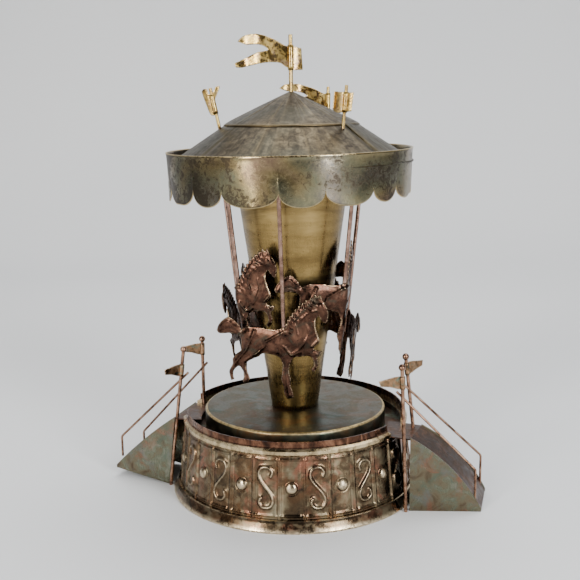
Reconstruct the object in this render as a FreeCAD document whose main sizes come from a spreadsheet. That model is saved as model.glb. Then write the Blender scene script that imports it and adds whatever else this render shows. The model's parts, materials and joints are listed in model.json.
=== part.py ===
import FreeCAD, Part
import math
import os
import re
import Sketcher
from FreeCAD import Placement, Rotation, Vector

# A wind-up carousel music box of brass and copper sheet.
# Frame: origin at the centre of the foot on the surface it stands on, +Z up. The side with the
# two ramps' near posts faces -Y, +X is to the right. Everything is in millimetres.
# Azimuths are degrees from +X towards +Y, as seen from above.

SIZES = {
    # sheet and wire
    "gauge": 0.6,
    "thin_gauge": 0.5,
    "running_gap": 0.05,
    "solder_gap": 0.15,
    # drum: foot, embossed wall, rolled rim and the deck let into it
    "foot_radius": 64.2,
    "foot_shoulder": 62.0,
    "foot_inner": 59.2,
    "foot_height": 5.6,
    "wall_foot_radius": 60.5,
    "wall_head_radius": 57.5,
    "wall_head": 36.0,
    "bead_radius": 58.1,
    "bead_head": 39.2,
    "rim_radius": 56.1,
    "rim_bore": 55.5,
    "rim_head": 42.5,
    "notch_floor": 36.4,
    "deck_level": 33.5,
    "deck_gauge": 0.8,
    "deck_flange_head": 36.4,
    # bush and shaft
    "shaft_radius": 2.0,
    "bush_radius": 4.0,
    "bush_flange_radius": 6.0,
    "bush_foot": 29.8,
    "bush_head": 34.5,
    "hub_radius": 7.0,
    # turntable
    "disc_level": 43.6,
    "disc_radius": 46.7,
    "disc_gauge": 0.7,
    "disc_hem": 34.3,
    "disc_round": 1.2,
    # column and canopy
    "column_foot_radius": 12.0,
    "column_head_radius": 32.0,
    "column_head": 186.4,
    "crease_radius": 32.5,
    "crease_level": 187.0,
    "cone_top_radius": 31.6,
    "eave_radius": 59.8,
    "eave_level": 169.0,
    "cap_apex": 202.5,
    "cap_radius": 33.4,
    "cap_slope": 0.452,
    "skirt_rim_radius": 60.8,
    "skirt_rim_level": 175.2,
    "skirt_hem_radius": 59.7,
    "skirt_hem": 151.8,
    "scallop_root": 159.5,
    # poles, rods and flags
    "pole_radius": 1.0,
    "pole_foot": 196.0,
    "pole_head": 230.0,
    "small_pole_radius": 0.8,
    "small_pole_length": 20.0,
    "flag_gauge": 0.4,
    "rod_radius": 1.0,
    "rod_head_level": 180.4,
    "rod_head_radius": 40.4,
    "rod_lean": 6.7,
    "rod_tail": 12.0,
    "horse_gauge": 1.0,
    "low_saddle": 91.0,
    "horse_rise": 20.0,
    # ramps
    "post_radius": 0.9,
    "finial_radius": 1.7,
    "finial_level": 73.5,
    "rail_radius": 0.6,
    "rail_bend": 2.5,
    "rail_head": 57.5,
    "ramp_head": 37.7,
    "ramp_deck_drop": 0.7,
    "tongue_reach": 49.0,
    # movement
    "bed_level": 10.0,
    "bed_gauge": 1.6,
    "pillar_radius": 2.2,
    "screw_radius": 1.0,
    "arbor_level": 21.0,
    "arbor_radius": 1.0,
    "gear_module": 0.5,
    "crown_radius": 12.0,
    "barrel_radius": 10.4,
    "barrel_foot": 12.6,
    "barrel_head": 24.5,
    "barrel_gauge": 0.8,
    "key_arbor_radius": 1.6,
    "key_level": 1.5,
    "cylinder_radius": 6.5,
    "cylinder_start": 17.0,
    "cylinder_end": 37.0,
    "comb_gap": 0.6,
    "comb_back": -22.0,
    "comb_gauge": 1.0,
    "pin_radius": 0.18,
    "plate_gauge": 1.4,
    "plate_head": 25.0,
    "wheel_gauge": 1.2,
    "pinion_length": 2.0,
    "fan_arbor_radius": 0.7,
    "fan_boss_radius": 1.5,
    "fan_radius": 5.6,
}

CROWN_TEETH = 48
CYLINDER_PINION_TEETH = 12
CYLINDER_WHEEL_TEETH = 32
MIDDLE_PINION_TEETH = 8
MIDDLE_WHEEL_TEETH = 28
FAN_PINION_TEETH = 7
COMB_TEETH = 18

doc = FreeCAD.newDocument("CarouselMusicBox")
sheet = doc.addObject("Spreadsheet::Sheet", "Sizes")
nodes = {}


def fill_sheet():
    for row, (alias, value) in enumerate(SIZES.items(), 1):
        sheet.set(f"A{row}", alias)
        sheet.set(f"B{row}", str(value))
        sheet.setAlias(f"B{row}", alias)
    doc.recompute()


def size(expression):
    """Value of an expression over the sheet's aliases."""
    return float(sheet.evalExpression(expression))


def bound(expression):
    """The same expression, written so that another object can be bound to it."""
    return re.sub(r"[a-z][a-z_]+", lambda word: f"Sizes.{word[0]}" if word[0] in SIZES else word[0],
                  expression)


def keep(label, item):
    """Name a finished sub-part; its label is its file's name."""
    item.Label = label
    nodes[label] = item
    return item


def feature(label, shape, placement=None):
    """A free-form piece, for shapes that no primitive or sketch makes."""
    item = doc.addObject("Part::Feature", label)
    item.Shape = shape
    if placement:
        item.Placement = placement
    return item


def azimuth_vector(degrees, radius=1.0, level=0.0):
    angle = math.radians(degrees)
    return Vector(radius * math.cos(angle), radius * math.sin(angle), level)


def origin_plane(body, role):
    return next(item for item in body.Origin.OriginFeatures if item.Role == role)


def add_profile(sketch, corners):
    """Closed polygon whose corners are pairs of expressions, each bound to the sheet."""
    places = [(size(x), size(y)) for x, y in corners]
    count = len(places)
    for index, (x, y) in enumerate(places):
        after = places[(index + 1) % count]
        sketch.addGeometry(Part.LineSegment(Vector(x, y, 0), Vector(*after, 0)))
    for index in range(count):
        after = (index + 1) % count
        sketch.addConstraint(Sketcher.Constraint("Coincident", index, 2, after, 1))
    for index, (corner, place) in enumerate(zip(corners, places)):
        for kind, axis, expression, value in zip(("DistanceX", "DistanceY"), (-2, -1), corner, place):
            if expression == "0":
                sketch.addConstraint(Sketcher.Constraint("PointOnObject", index, 1, axis))
                continue
            number = sketch.addConstraint(Sketcher.Constraint(kind, -1, 1, index, 1, value))
            sketch.setExpression(f"Constraints[{number}]", bound(expression))


def turned(label, corners):
    """A body turned about Z from a profile of (radius, height) expressions."""
    body = doc.addObject("PartDesign::Body", label)
    sketch = body.newObject("Sketcher::SketchObject", label + "_profile")
    sketch.AttachmentSupport = [(origin_plane(body, "XZ_Plane"), "")]
    sketch.MapMode = "FlatFace"
    add_profile(sketch, corners)
    turn = body.newObject("PartDesign::Revolution", label + "_turn")
    turn.Profile = sketch
    turn.ReferenceAxis = (sketch, ["V_Axis"])
    turn.Angle = 360
    body.Tip = turn
    return body


def rod_between(label, start, end, radius_alias):
    """A round bar from one point to another, its radius bound to the sheet."""
    rod = doc.addObject("Part::Cylinder", label)
    rod.setExpression("Radius", bound(radius_alias))
    run = end - start
    rod.Height = run.Length
    rod.Placement = Placement(start, Rotation(Vector(0, 0, 1), run))
    return rod


def block(label, corner, spans):
    box = doc.addObject("Part::Box", label)
    box.Length, box.Width, box.Height = spans
    box.Placement = Placement(corner, Rotation())
    return box


def cut(label, base, tool):
    item = doc.addObject("Part::Cut", label)
    item.Base = base
    item.Tool = tool
    return item


def fuse(label, pieces):
    item = doc.addObject("Part::MultiFuse", label)
    item.Shapes = pieces
    return item


def group(label, pieces):
    """Several separate solids of one kind in one node."""
    item = doc.addObject("Part::Compound", label)
    item.Links = pieces
    return item


def smooth_wire(strokes):
    """Closed wire: each stroke is smooth through its points, with a corner between strokes."""
    edges = []
    for stroke in strokes:
        points = [Vector(x, 0, z) for x, z in stroke]
        if len(points) == 2:
            edges.append(Part.LineSegment(*points).toShape())
            continue
        curve = Part.BSplineCurve()
        curve.interpolate(points)
        edges.append(curve.toShape())
    return Part.Wire(edges)


def closed_strokes(strokes):
    """Join strokes end to start, so that each is written without its last point."""
    return [stroke + after[:1] for stroke, after in zip(strokes, strokes[1:] + strokes[:1])]


def plate(strokes, gauge, start=0.0):
    """Plate in the XZ plane from Y = start to Y = start + gauge."""
    face = Part.Face(smooth_wire(strokes))
    face.translate(Vector(0, start, 0))
    return face.extrude(Vector(0, gauge, 0))


# ---- drum ----

def make_drum():
    keep("foot_ring", turned("FootRing", [
        ("foot_inner", "0"), ("foot_radius", "0"), ("foot_shoulder", "foot_height"),
        ("foot_inner", "foot_height"), ("foot_inner", "foot_height - gauge"),
        ("foot_shoulder - gauge", "foot_height - gauge"), ("foot_radius - 1.4", "gauge"),
        ("foot_inner", "gauge")]))
    keep("drum_wall", turned("DrumWall", [
        ("wall_foot_radius - gauge", "foot_height"), ("wall_foot_radius", "foot_height"),
        ("wall_head_radius", "wall_head"), ("wall_head_radius - gauge", "wall_head")]))
    keep("deck_plate", turned("DeckPlate", [
        ("bush_radius", "deck_level - deck_gauge"), ("rim_bore", "deck_level - deck_gauge"),
        ("rim_bore", "deck_flange_head"), ("rim_bore - gauge", "deck_flange_head"),
        ("rim_bore - gauge", "deck_level"), ("bush_radius", "deck_level")]))
    keep("deck_bush", turned("DeckBush", [
        ("shaft_radius + running_gap", "bush_foot"), ("bush_radius", "bush_foot"),
        ("bush_radius", "deck_level"), ("bush_flange_radius", "deck_level"),
        ("bush_flange_radius", "bush_head"), ("shaft_radius + running_gap", "bush_head")]))
    rim = turned("RimTurned", [
        ("rim_bore", "wall_head"), ("wall_head_radius", "wall_head"),
        ("bead_radius", "wall_head + 0.8"), ("bead_radius", "bead_head - 0.8"),
        ("rim_radius + 0.6", "bead_head"), ("rim_radius", "bead_head + 0.6"),
        ("rim_radius", "rim_head"), ("rim_bore", "rim_head")])
    gaps = [rim_gap(ramp) for ramp in RAMPS]
    keep("rim_ring", cut("RimRing", rim, fuse("RimGaps", gaps)))


def rim_gap(ramp):
    """Space in the rim for a ramp's tongue: between its two posts, down to the notch floor."""
    face = tongue_face(ramp)
    face.translate(Vector(0, 0, size("notch_floor - ramp_head + ramp_deck_drop")))
    return feature("RimGap_" + ramp["side"], face.extrude(Vector(0, 0, 10.0)))


def drum_envelope():
    """The drum's outside as one solid, to trim what is soldered against it."""
    outline = [
        ("0", "0"), ("foot_radius", "0"), ("foot_shoulder", "foot_height"),
        ("wall_foot_radius", "foot_height"), ("wall_head_radius", "wall_head"),
        ("(wall_head_radius + bead_radius) / 2", "notch_floor"), ("0", "notch_floor")]
    points = [Vector(size(x), 0, size(z)) for x, z in outline]
    face = Part.Face(Part.makePolygon(points + points[:1]))
    return face.revolve(Vector(), Vector(0, 0, 1), 360)


# ---- ramps ----

def ramp_frame(side, heel_front, heel_back, toe_front, toe_back, heel_lean, toe_lift, bulge, posts, rails):
    """Plan corners of one ramp. The heel is at the drum and the toe is out on the table."""
    corners = [Vector(x, y, 0) for x, y in (heel_front, heel_back, toe_front, toe_back)]
    middle = (corners[0] + corners[1]) * 0.5
    inward = Vector(-middle.x, -middle.y, 0).normalize()
    return {"side": side, "heel_front": corners[0], "heel_back": corners[1], "toe_front": corners[2],
            "toe_back": corners[3], "heel_lean": heel_lean, "toe_lift": toe_lift, "bulge": bulge,
            "posts": posts, "rails": rails, "tongue_direction": inward}


TONGUE_RUN = 22.0

# The two ramps were bent and soldered by hand, so each has corners of its own: the right one's toe is on
# the table, and the left one's hangs a little above it. Posts are (foot, head); a rail is given by the level
# at which it bends down over the toe and the level of its lower end.
RAMPS = [
    ramp_frame("right", (55.4, -38.9), (63.6, -18.6), (90.2, -41.0), (97.2, -15.2),
               heel_lean=0.0, toe_lift=0.0, bulge=3.7,
               posts={"front": (Vector(53.5, -39.7, 0), Vector(50.9, -40.6, 0)),
                      "back": (Vector(63.2, -20.4, 0), Vector(55.0, -20.9, 0))},
               rails={"front": (21.0, 3.5, 0.90), "back": (20.0, 2.5, 0.93)}),
    ramp_frame("left", (-67.4, -0.4), (-58.6, 24.8), (-97.2, 12.8), (-87.6, 37.2),
               heel_lean=5.0, toe_lift=4.4, bulge=1.2,
               posts={"front": (Vector(-66.3, -1.6, 0), Vector(-57.2, -0.6, 0)),
                      "back": (Vector(-49.5, 20.9, 0), Vector(-49.5, 20.9, 0))},
               rails={"front": (22.0, 11.0, 0.90), "back": (17.0, 8.5, 0.90)}),
]


def side_curve(ramp, edge, drop=0.0):
    """Heel point, crown point and toe point of a ramp's top edge on one side, lowered by drop."""
    heel, toe = ramp["heel_" + edge], ramp["toe_" + edge]
    run = toe - heel
    head = size("ramp_head") - drop
    foot = ramp["toe_lift"] + 1.6 - drop
    start = heel - run.normalize() * ramp["heel_lean"] + Vector(0, 0, head)
    end = toe + Vector(0, 0, foot)
    chord = end - start
    across = Vector(0, 0, 1) - chord * (chord.z / chord.dot(chord))
    crown = (start + end) * 0.5 + across.normalize() * ramp["bulge"]
    return start, crown, end


def side_panel(ramp, edge):
    """Upright side of a ramp, its top edge an arc; the sheet's thickness goes inwards."""
    start, crown, end = side_curve(ramp, edge)
    heel = Vector(ramp["heel_" + edge])
    toe = ramp["toe_" + edge] + Vector(0, 0, ramp["toe_lift"])
    edges = [Part.LineSegment(heel, start).toShape(), Part.Arc(start, crown, end).toShape(),
             Part.LineSegment(end, toe).toShape(), Part.LineSegment(toe, heel).toShape()]
    other = ramp["heel_back"] if edge == "front" else ramp["heel_front"]
    run = ramp["toe_" + edge] - ramp["heel_" + edge]
    inward = Vector(-run.y, run.x, 0).normalize()
    if inward.dot(other - heel) < 0:
        inward = inward * -1
    return Part.Face(Part.Wire(edges)).extrude(inward * size("thin_gauge"))


def ramp_deck(ramp, trims):
    """Curved walking deck between the side panels, with a flat tongue over the drum's rim."""
    drop = size("ramp_deck_drop")
    front = Part.Arc(*side_curve(ramp, "front", drop)).toShape()
    back = Part.Arc(*side_curve(ramp, "back", drop)).toShape()
    thickness = Vector(0, 0, -size("gauge"))
    slope = Part.makeRuledSurface(front, back).extrude(thickness)
    tongue = tongue_face(ramp).extrude(thickness)
    reach = Part.makeCylinder(size("tongue_reach"), 80.0)
    return slope.fuse(tongue).cut([reach] + trims).removeSplitter()


def tongue_face(ramp):
    """Top of a ramp's flat tongue, from the heel inwards over the rim."""
    near, far = [side_curve(ramp, edge, size("ramp_deck_drop"))[0] for edge in ("front", "back")]
    inward = ramp["tongue_direction"] * TONGUE_RUN
    return Part.Face(Part.makePolygon([near, far, far + inward, near + inward, near]))


def wire_along(points, radius, bend):
    """Round wire along straight runs joined by arcs of one bend radius."""
    edges = []
    start = points[0]
    for corner, after in zip(points[1:-1], points[2:]):
        arriving = (corner - start).normalize()
        leaving = (after - corner).normalize()
        half_turn = arriving.getAngle(leaving) / 2
        setback = bend * math.tan(half_turn)
        first = corner - arriving * setback
        last = corner + leaving * setback
        middle = corner + (leaving - arriving).normalize() * bend * (1 / math.cos(half_turn) - 1)
        edges.append(Part.LineSegment(start, first).toShape())
        edges.append(Part.Arc(first, middle, last).toShape())
        start = last
    edges.append(Part.LineSegment(start, points[-1]).toShape())
    path = Part.Wire(edges)
    ring = Part.Wire(Part.Circle(points[0], points[1] - points[0], radius).toShape())
    return path.makePipeShell([ring], True, False)


def handrail(ramp, edge):
    """Bent wire from beside the post's upper part, down the slope and upright to the toe."""
    foot, head = ramp["posts"][edge]
    bend_level, end_level, along = ramp["rails"][edge]
    start_level = size("rail_head")
    share = start_level / size("finial_level")
    post = foot + (head - foot) * share
    toe = ramp["toe_" + edge]
    heel = ramp["heel_" + edge]
    other = ramp["heel_back"] if edge == "front" else ramp["heel_front"]
    inward = (other - heel).normalize() * size("post_radius + rail_radius + solder_gap")
    over_toe = heel + (toe - heel) * along + inward
    top = Vector(post.x, post.y, start_level) + inward
    bend = Vector(over_toe.x, over_toe.y, bend_level)
    past = (top - bend).normalize() * 5.0
    low = Vector(over_toe.x, over_toe.y, end_level)
    return wire_along([top + past, bend, low], size("rail_radius"), size("rail_bend"))


def make_ramps():
    envelope = drum_envelope()
    finials = []
    for ramp in RAMPS:
        side = ramp["side"]
        rails = {}
        posts = {}
        for edge in ("front", "back"):
            foot, head = ramp["posts"][edge]
            inside_rim = foot.Length < size("rim_bore")
            base = Vector(foot.x, foot.y, size("deck_level") if inside_rim else 0.0)
            top = Vector(head.x, head.y, size("finial_level"))
            name = f"{side}_{edge}_post"
            posts[edge] = keep(name, rod_between(name, base, top, "post_radius"))
            ball = doc.addObject("Part::Sphere", name + "_ball")
            ball.setExpression("Radius", bound("finial_radius"))
            ball.Placement = Placement(top, Rotation())
            finials.append(cut(name + "_finial", ball, rod_between(name + "_seat", base, top, "post_radius")))
            rails[edge] = handrail(ramp, edge)
            keep(f"{side}_{edge}_handrail", feature(f"{side}_{edge}_rail", rails[edge]))
        doc.recompute()
        wires = list(rails.values()) + [post.Shape for post in posts.values()]
        panels = {edge: side_panel(ramp, edge).cut([envelope] + wires) for edge in ("front", "back")}
        for edge, panel in panels.items():
            keep(f"{side}_ramp_{edge}_side", feature(f"{side}_{edge}_panel", largest(panel)))
        deck = ramp_deck(ramp, [envelope] + list(panels.values()) + wires)
        keep(f"{side}_ramp_deck", feature(f"{side}_deck", largest(deck)))
    keep("post_finials", group("PostFinials", finials))


def largest(shape):
    return max(shape.Solids, key=lambda solid: solid.Volume)


# ---- flags ----

PENNANT = closed_strokes([
    [(0, 3.2), (3.5, 2.9), (7.5, 2.0)], [(11.5, 1.2)], [(10.6, -1.4), (6.0, -2.0), (2.5, -3.0)], [(0, -3.3)]])
BANNER = closed_strokes([
    [(0, 6.0), (6.0, 8.6), (12.5, 11.6), (19.0, 12.6), (23.5, 11.4)], [(26.2, 8.4)],
    [(20.0, 7.4), (14.0, 6.0), (11.4, 4.4), (11.0, 2.2)],
    [(15.0, 1.2), (20.0, -0.6), (25.5, -3.0)], [(28.0, -5.4), (26.5, -7.2)],
    [(22.0, -7.0), (14.0, -4.8), (6.5, -4.6)], [(0, -6.2)]])
TAB = closed_strokes([[(0, 5.4)], [(-5.6, 4.2)], [(-6.3, -6.0)], [(0, -6.2)]])


def wrapped_flag(pole, leaves, height, foot):
    """Sheet flag folded round a pole that stands on Z: a sleeve and flat leaves on its two sides."""
    gauge = size("flag_gauge")
    sleeve = Part.makeCylinder(pole + gauge, height, Vector(0, 0, foot))
    bore = Part.makeCylinder(pole, height + 80.0, Vector(0, 0, foot - 40.0))
    flag = sleeve.fuse([plate(strokes, gauge, pole) for strokes in leaves])
    return flag.cut(bore).removeSplitter()


def make_top_flag():
    foot, head = Vector(0, 0, size("pole_foot")), Vector(0, 0, size("pole_head"))
    keep("flagpole", rod_between("Flagpole", foot, head, "pole_radius"))
    flag = wrapped_flag(size("pole_radius"), [mirrored(BANNER), mirrored(TAB)], 11.4, -6.0)
    place = Placement(Vector(0, 0, 219.6), Rotation(Vector(0, 0, 1), 6.0))
    keep("top_flag", feature("TopFlag", flag, place))


def mirrored(strokes):
    return [[(-x, z) for x, z in stroke] for stroke in strokes]


# Short poles round the crease of the roof: azimuth, outward lean, heading of the banner, its length share.
ROOF_FLAGS = {
    "left": (192.0, 12.0, 262.0, 0.55),
    "right": (-48.0, 7.0, 20.0, 0.30),
    "back": (58.0, 3.0, 178.0, 1.0),
}


def make_roof_flags():
    poles = []
    length = size("small_pole_length")
    for name, (azimuth, lean, heading, share) in ROOF_FLAGS.items():
        outward = azimuth_vector(azimuth)
        radius = size("crease_radius") + 3.2
        foot = azimuth_vector(azimuth, radius, roof_level(radius) + 0.55)
        angle = math.radians(lean)
        up = outward * math.sin(angle) + Vector(0, 0, math.cos(angle))
        poles.append(rod_between(f"RoofPole_{name}", foot, foot + up * length, "small_pole_radius"))
        banner = [[(x * share, z * 0.8) for x, z in stroke] for stroke in BANNER]
        flag = wrapped_flag(size("small_pole_radius"), [banner], 9.4, -4.8)
        turn = Rotation(Vector(0, 0, 1), up).multiply(Rotation(Vector(0, 0, 1), heading))
        place = Placement(foot + up * (length - 7.0), turn)
        keep(f"roof_flag_{name}", feature(f"RoofFlag_{name}", flag, place))
    keep("roof_flag_poles", group("RoofFlagPoles", poles))


def roof_level(radius):
    """Height of the roof cone's outside at a radius."""
    slope = size("(crease_level - eave_level) / (eave_radius - crease_radius)")
    return size("crease_level") - slope * (radius - size("crease_radius"))


def make_pennants():
    """A small tapering sheet wrapped on each ramp post, below its ball."""
    headings = {"right_front": (172.0, 66.0), "right_back": (28.0, 67.5),
                "left_front": (215.0, 62.5), "left_back": (172.0, 68.0)}
    pieces = []
    for name, (heading, level) in headings.items():
        side, edge = name.split("_")
        foot, head = next(ramp for ramp in RAMPS if ramp["side"] == side)["posts"][edge]
        lower = Vector(foot.x, foot.y, 0)
        upper = Vector(head.x, head.y, size("finial_level"))
        up = (upper - lower).normalize()
        at = lower + (upper - lower) * (level / size("finial_level"))
        turn = Rotation(Vector(0, 0, 1), up).multiply(Rotation(Vector(0, 0, 1), heading))
        shape = wrapped_flag(size("post_radius"), [PENNANT], 6.4, -3.3)
        pieces.append(feature("Pennant_" + name, shape, Placement(at, turn)))
    keep("post_pennants", group("PostPennants", pieces))


# ---- turntable, column and canopy ----

def make_turntable():
    keep("turntable_disc", turned("TurntableDisc", [
        ("0", "disc_level - disc_gauge"), ("disc_radius - disc_gauge", "disc_level - disc_gauge"),
        ("disc_radius - disc_gauge", "disc_hem"), ("disc_radius", "disc_hem"),
        ("disc_radius", "disc_level - disc_round"), ("disc_radius - disc_round", "disc_level"),
        ("0", "disc_level")]))
    keep("drive_shaft", turned("DriveShaft", [
        ("0", "barrel_head"), ("shaft_radius", "barrel_head"),
        ("shaft_radius", "bush_head + running_gap"), ("bush_radius", "bush_head + running_gap"),
        ("bush_radius", "disc_level - disc_gauge - 2"), ("hub_radius", "disc_level - disc_gauge - 2"),
        ("hub_radius", "disc_level - disc_gauge"), ("0", "disc_level - disc_gauge")]))
    keep("center_column", turned("CenterColumn", [
        ("column_foot_radius - gauge", "disc_level"), ("column_foot_radius", "disc_level"),
        ("column_head_radius", "column_head"), ("column_head_radius - gauge", "column_head")]))


def make_canopy():
    rise = "(crease_level - eave_level) / (eave_radius - crease_radius)"
    cone_top = f"crease_level + {rise} * (crease_radius - cone_top_radius)"
    keep("roof_cone", turned("RoofCone", [
        ("cone_top_radius", f"{cone_top} - gauge"), ("eave_radius", "eave_level - gauge"),
        ("eave_radius", "eave_level"), ("cone_top_radius", cone_top)]))
    keep("roof_cap", turned("RoofCap", [
        ("pole_radius", "cap_apex - gauge"), ("cap_radius", "cap_apex - cap_slope * cap_radius - gauge"),
        ("cap_radius", "cap_apex - cap_slope * cap_radius"), ("pole_radius", "cap_apex")]))
    shell = turned("SkirtTurned", [
        ("skirt_rim_radius - thin_gauge", "skirt_rim_level"), ("skirt_rim_radius", "skirt_rim_level"),
        ("skirt_hem_radius", "skirt_hem"), ("skirt_hem_radius - thin_gauge", "skirt_hem")])
    limit = doc.addObject("Part::Common", "CanopySkirt")
    limit.Base = shell
    limit.Tool = feature("SkirtOutline", scallop_solid())
    keep("canopy_skirt", limit)


# Widths in degrees of the skirt's hand-cut scallops, going anticlockwise from FIRST_NOTCH.
SCALLOPS = [25.0, 16.5, 26.0, 20.0, 24.0, 16.5, 22.0, 20.0, 24.0,
            19.0, 21.0, 23.0, 18.0, 22.0, 20.0, 23.0, 20.0]
FIRST_NOTCH = -162.4


def scallop_solid():
    """Everything above the scallops' roots, plus a half-round lobe under each scallop."""
    root, hem = size("scallop_root"), size("skirt_hem")
    reach = size("skirt_rim_radius") + 5.0
    start = 45.0
    upper = Part.makeCylinder(reach, size("skirt_rim_level") - root, Vector(0, 0, root))
    lobes = []
    azimuth = FIRST_NOTCH
    for width in SCALLOPS:
        half = size("skirt_hem_radius") * math.sin(math.radians(width / 2))
        depth = root - hem
        outline = Part.Ellipse(Vector(), max(half, depth), min(half, depth)).toShape()
        lobe = Part.Face(Part.Wire(outline)).extrude(Vector(0, 0, reach - start))
        if depth > half:
            lobe.rotate(Vector(), Vector(0, 0, 1), 90)
        middle = azimuth + width / 2
        turn = Rotation(Vector(0, 0, 1), middle).multiply(Rotation(Vector(1, 1, 1), 120))
        lobe.Placement = Placement(azimuth_vector(middle, start, root), turn).multiply(lobe.Placement)
        lobes.append(lobe)
        azimuth += width
    return upper.fuse(lobes)


# ---- horses ----

MANE_TEETH = 9


def mane_strokes():
    """Saw-edged mane from the withers to the poll, on a gentle curve."""
    start, bend, end = Vector(1.2, 0, 0.6), Vector(5.0, 0, 10.6), Vector(15.1, 0, 16.1)
    points = []
    for index in range(MANE_TEETH * 2 + 1):
        share = index / (MANE_TEETH * 2)
        place = start * (1 - share) ** 2 + bend * (2 * share * (1 - share)) + end * share ** 2
        if index % 2:
            place = place + Vector(-0.75, 0, 0.55)
        points.append((place.x, place.z))
    return [[point] for point in points]


# Outline of the stamped horse in its own plane: x forwards from the rod, z up from the saddle.
HORSE = closed_strokes(
    mane_strokes() + [
        [(15.8, 17.9)], [(16.7, 16.2)], [(18.3, 17.7)],
        [(19.3, 14.8), (21.2, 11.6), (22.1, 7.6)], [(21.3, 3.6), (20.2, 2.9), (18.8, 4.2)],
        [(17.4, 6.7)], [(15.9, 5.2), (15.9, 1.0), (17.0, -3.2), (17.5, -6.4), (14.6, -10.0)],
        [(18.7, -11.2)], [(17.8, -13.4), (16.4, -14.8), (16.7, -17.8), (15.8, -20.4)],
        [(14.0, -22.5)], [(12.9, -20.9)], [(14.4, -18.6), (13.9, -15.6), (12.0, -13.9)],
        [(7.4, -14.4), (4.6, -15.0), (2.8, -18.6), (2.2, -22.6), (2.9, -26.3), (2.6, -29.4), (3.6, -32.8)],
        [(4.0, -36.2)], [(0.8, -36.9)], [(-0.5, -34.0), (-0.7, -30.2), (-1.7, -26.6), (-1.2, -23.6)],
        [(-0.6, -18.8), (-2.4, -15.0), (-6.9, -13.9), (-10.8, -13.9)],
        [(-13.0, -15.6), (-16.8, -17.5), (-19.6, -19.6), (-20.0, -22.4), (-19.2, -25.4)],
        [(-18.2, -28.3)], [(-19.4, -30.0)], [(-22.0, -30.8)], [(-22.4, -29.2)],
        [(-21.2, -26.8), (-22.0, -24.2), (-23.7, -21.9)],
        [(-25.3, -22.6), (-26.9, -24.6), (-27.3, -27.0)], [(-26.9, -29.3)], [(-28.6, -30.0)],
        [(-29.2, -27.6), (-29.3, -24.9), (-27.4, -21.2)], [(-27.2, -18.2), (-25.0, -15.4), (-22.4, -13.2)],
        [(-22.0, -9.6), (-22.8, -5.8)], [(-27.5, -4.7), (-33.4, -5.4)],
        [(-35.0, -4.0), (-33.9, -1.2), (-31.2, 1.9), (-27.7, 3.7), (-24.0, 1.2)],
        [(-21.6, -2.0), (-18.2, -0.5), (-12.5, -0.2), (-5.5, -0.9)]])

# Each horse: azimuth of its rod, height above the low ones in rises, and the angles by which its front and
# rear halves are turned about the rod. They are bent at the rod to follow the ring and clear each other.
HORSES = {
    "front": (-100.0, 0, 2.0, -10.0),
    "front_right": (-40.0, 1, 34.0, -38.0),
    "back_right": (20.0, 0, 24.0, -16.0),
    "back": (80.0, 1, 20.0, -39.0),
    "back_left": (160.0, 0, 6.0, -16.0),
    "front_left": (213.0, 1, 34.0, -38.0),
}
BEND_FOOT, BEND_HEAD = -35.2, 0.2


def stamped_horse(front_turn, rear_turn):
    """The stamping beside a rod on Z, heading along -X, with its two halves turned about the rod."""
    flat = plate(HORSE, size("horse_gauge"), size("rod_radius")).mirror(Vector(), Vector(1, 0, 0))
    if front_turn == rear_turn:
        return flat.rotated(Vector(), Vector(0, 0, 1), front_turn)
    box = flat.BoundBox
    cutter = Part.makeBox(box.XLength, 2 * box.YMax, box.ZLength, Vector(0, 0, box.ZMin))
    rear = flat.common(cutter).rotated(Vector(), Vector(0, 0, 1), rear_turn)
    front = flat.cut(cutter).rotated(Vector(), Vector(0, 0, 1), front_turn)
    pieces = [rear]
    opening = front_turn - rear_turn
    if opening > 0:
        outer = size("rod_radius + horse_gauge")
        place = (Vector(0, 0, BEND_FOOT), Vector(0, 0, 1))
        bend = Part.makeCylinder(outer, BEND_HEAD - BEND_FOOT, *place, opening)
        core = Part.makeCylinder(size("rod_radius"), BEND_HEAD - BEND_FOOT, *place)
        pieces.append(bend.cut(core).rotated(Vector(), Vector(0, 0, 1), 90 + rear_turn))
    return front.fuse(pieces).removeSplitter()


def make_horses():
    rods = []
    lean = math.radians(size("rod_lean"))
    for name, (azimuth, rises, front_turn, rear_turn) in HORSES.items():
        outward = azimuth_vector(azimuth)
        up = outward * math.sin(lean) + Vector(0, 0, math.cos(lean))
        head = azimuth_vector(azimuth, size("rod_head_radius"), size("rod_head_level"))
        saddle_level = size("low_saddle") + rises * size("horse_rise")
        saddle = head - up * ((head.z - saddle_level) / up.z)
        rods.append(rod_between(f"Rod_{name}", saddle - up * size("rod_tail"), head, "rod_radius"))
        forward = Vector(0, 0, 1).cross(outward)
        # local X backwards, Y outwards and Z up the rod
        turn = Rotation(forward * -1, outward, up, "ZXY")
        horse = stamped_horse(front_turn, rear_turn)
        keep(f"horse_{name}", feature(f"Horse_{name}", horse, Placement(saddle, turn)))
    keep("horse_rods", group("HorseRods", rods))


# ---- movement ----

def gear_face(teeth, module, fullness=0.40):
    """Outline of a spur gear with straight-sided teeth, in the YZ plane, a tooth centred on +Z."""
    pitch = teeth * module / 2
    root, tip = pitch - 1.15 * module, pitch + 0.9 * module
    step = 2 * math.pi / teeth
    points = []
    for index in range(teeth):
        centre = index * step
        for radius, share in ((root, -0.60), (tip, -0.22), (tip, 0.22), (root, 0.60)):
            angle = centre + share * fullness / 0.40 * step * 0.5
            points.append(Vector(0, radius * math.sin(angle), radius * math.cos(angle)))
    return Part.Face(Part.makePolygon(points + points[:1]))


def gear(teeth, start, width, y, phase):
    """Spur gear on an arbor along X at y; phase is the turn of its first tooth from +Z, in tooth steps."""
    shape = gear_face(teeth, size("gear_module")).extrude(Vector(width, 0, 0))
    shape.rotate(Vector(), Vector(1, 0, 0), -phase * 360.0 / teeth)
    shape.translate(Vector(start, y, size("arbor_level")))
    return shape


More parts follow.
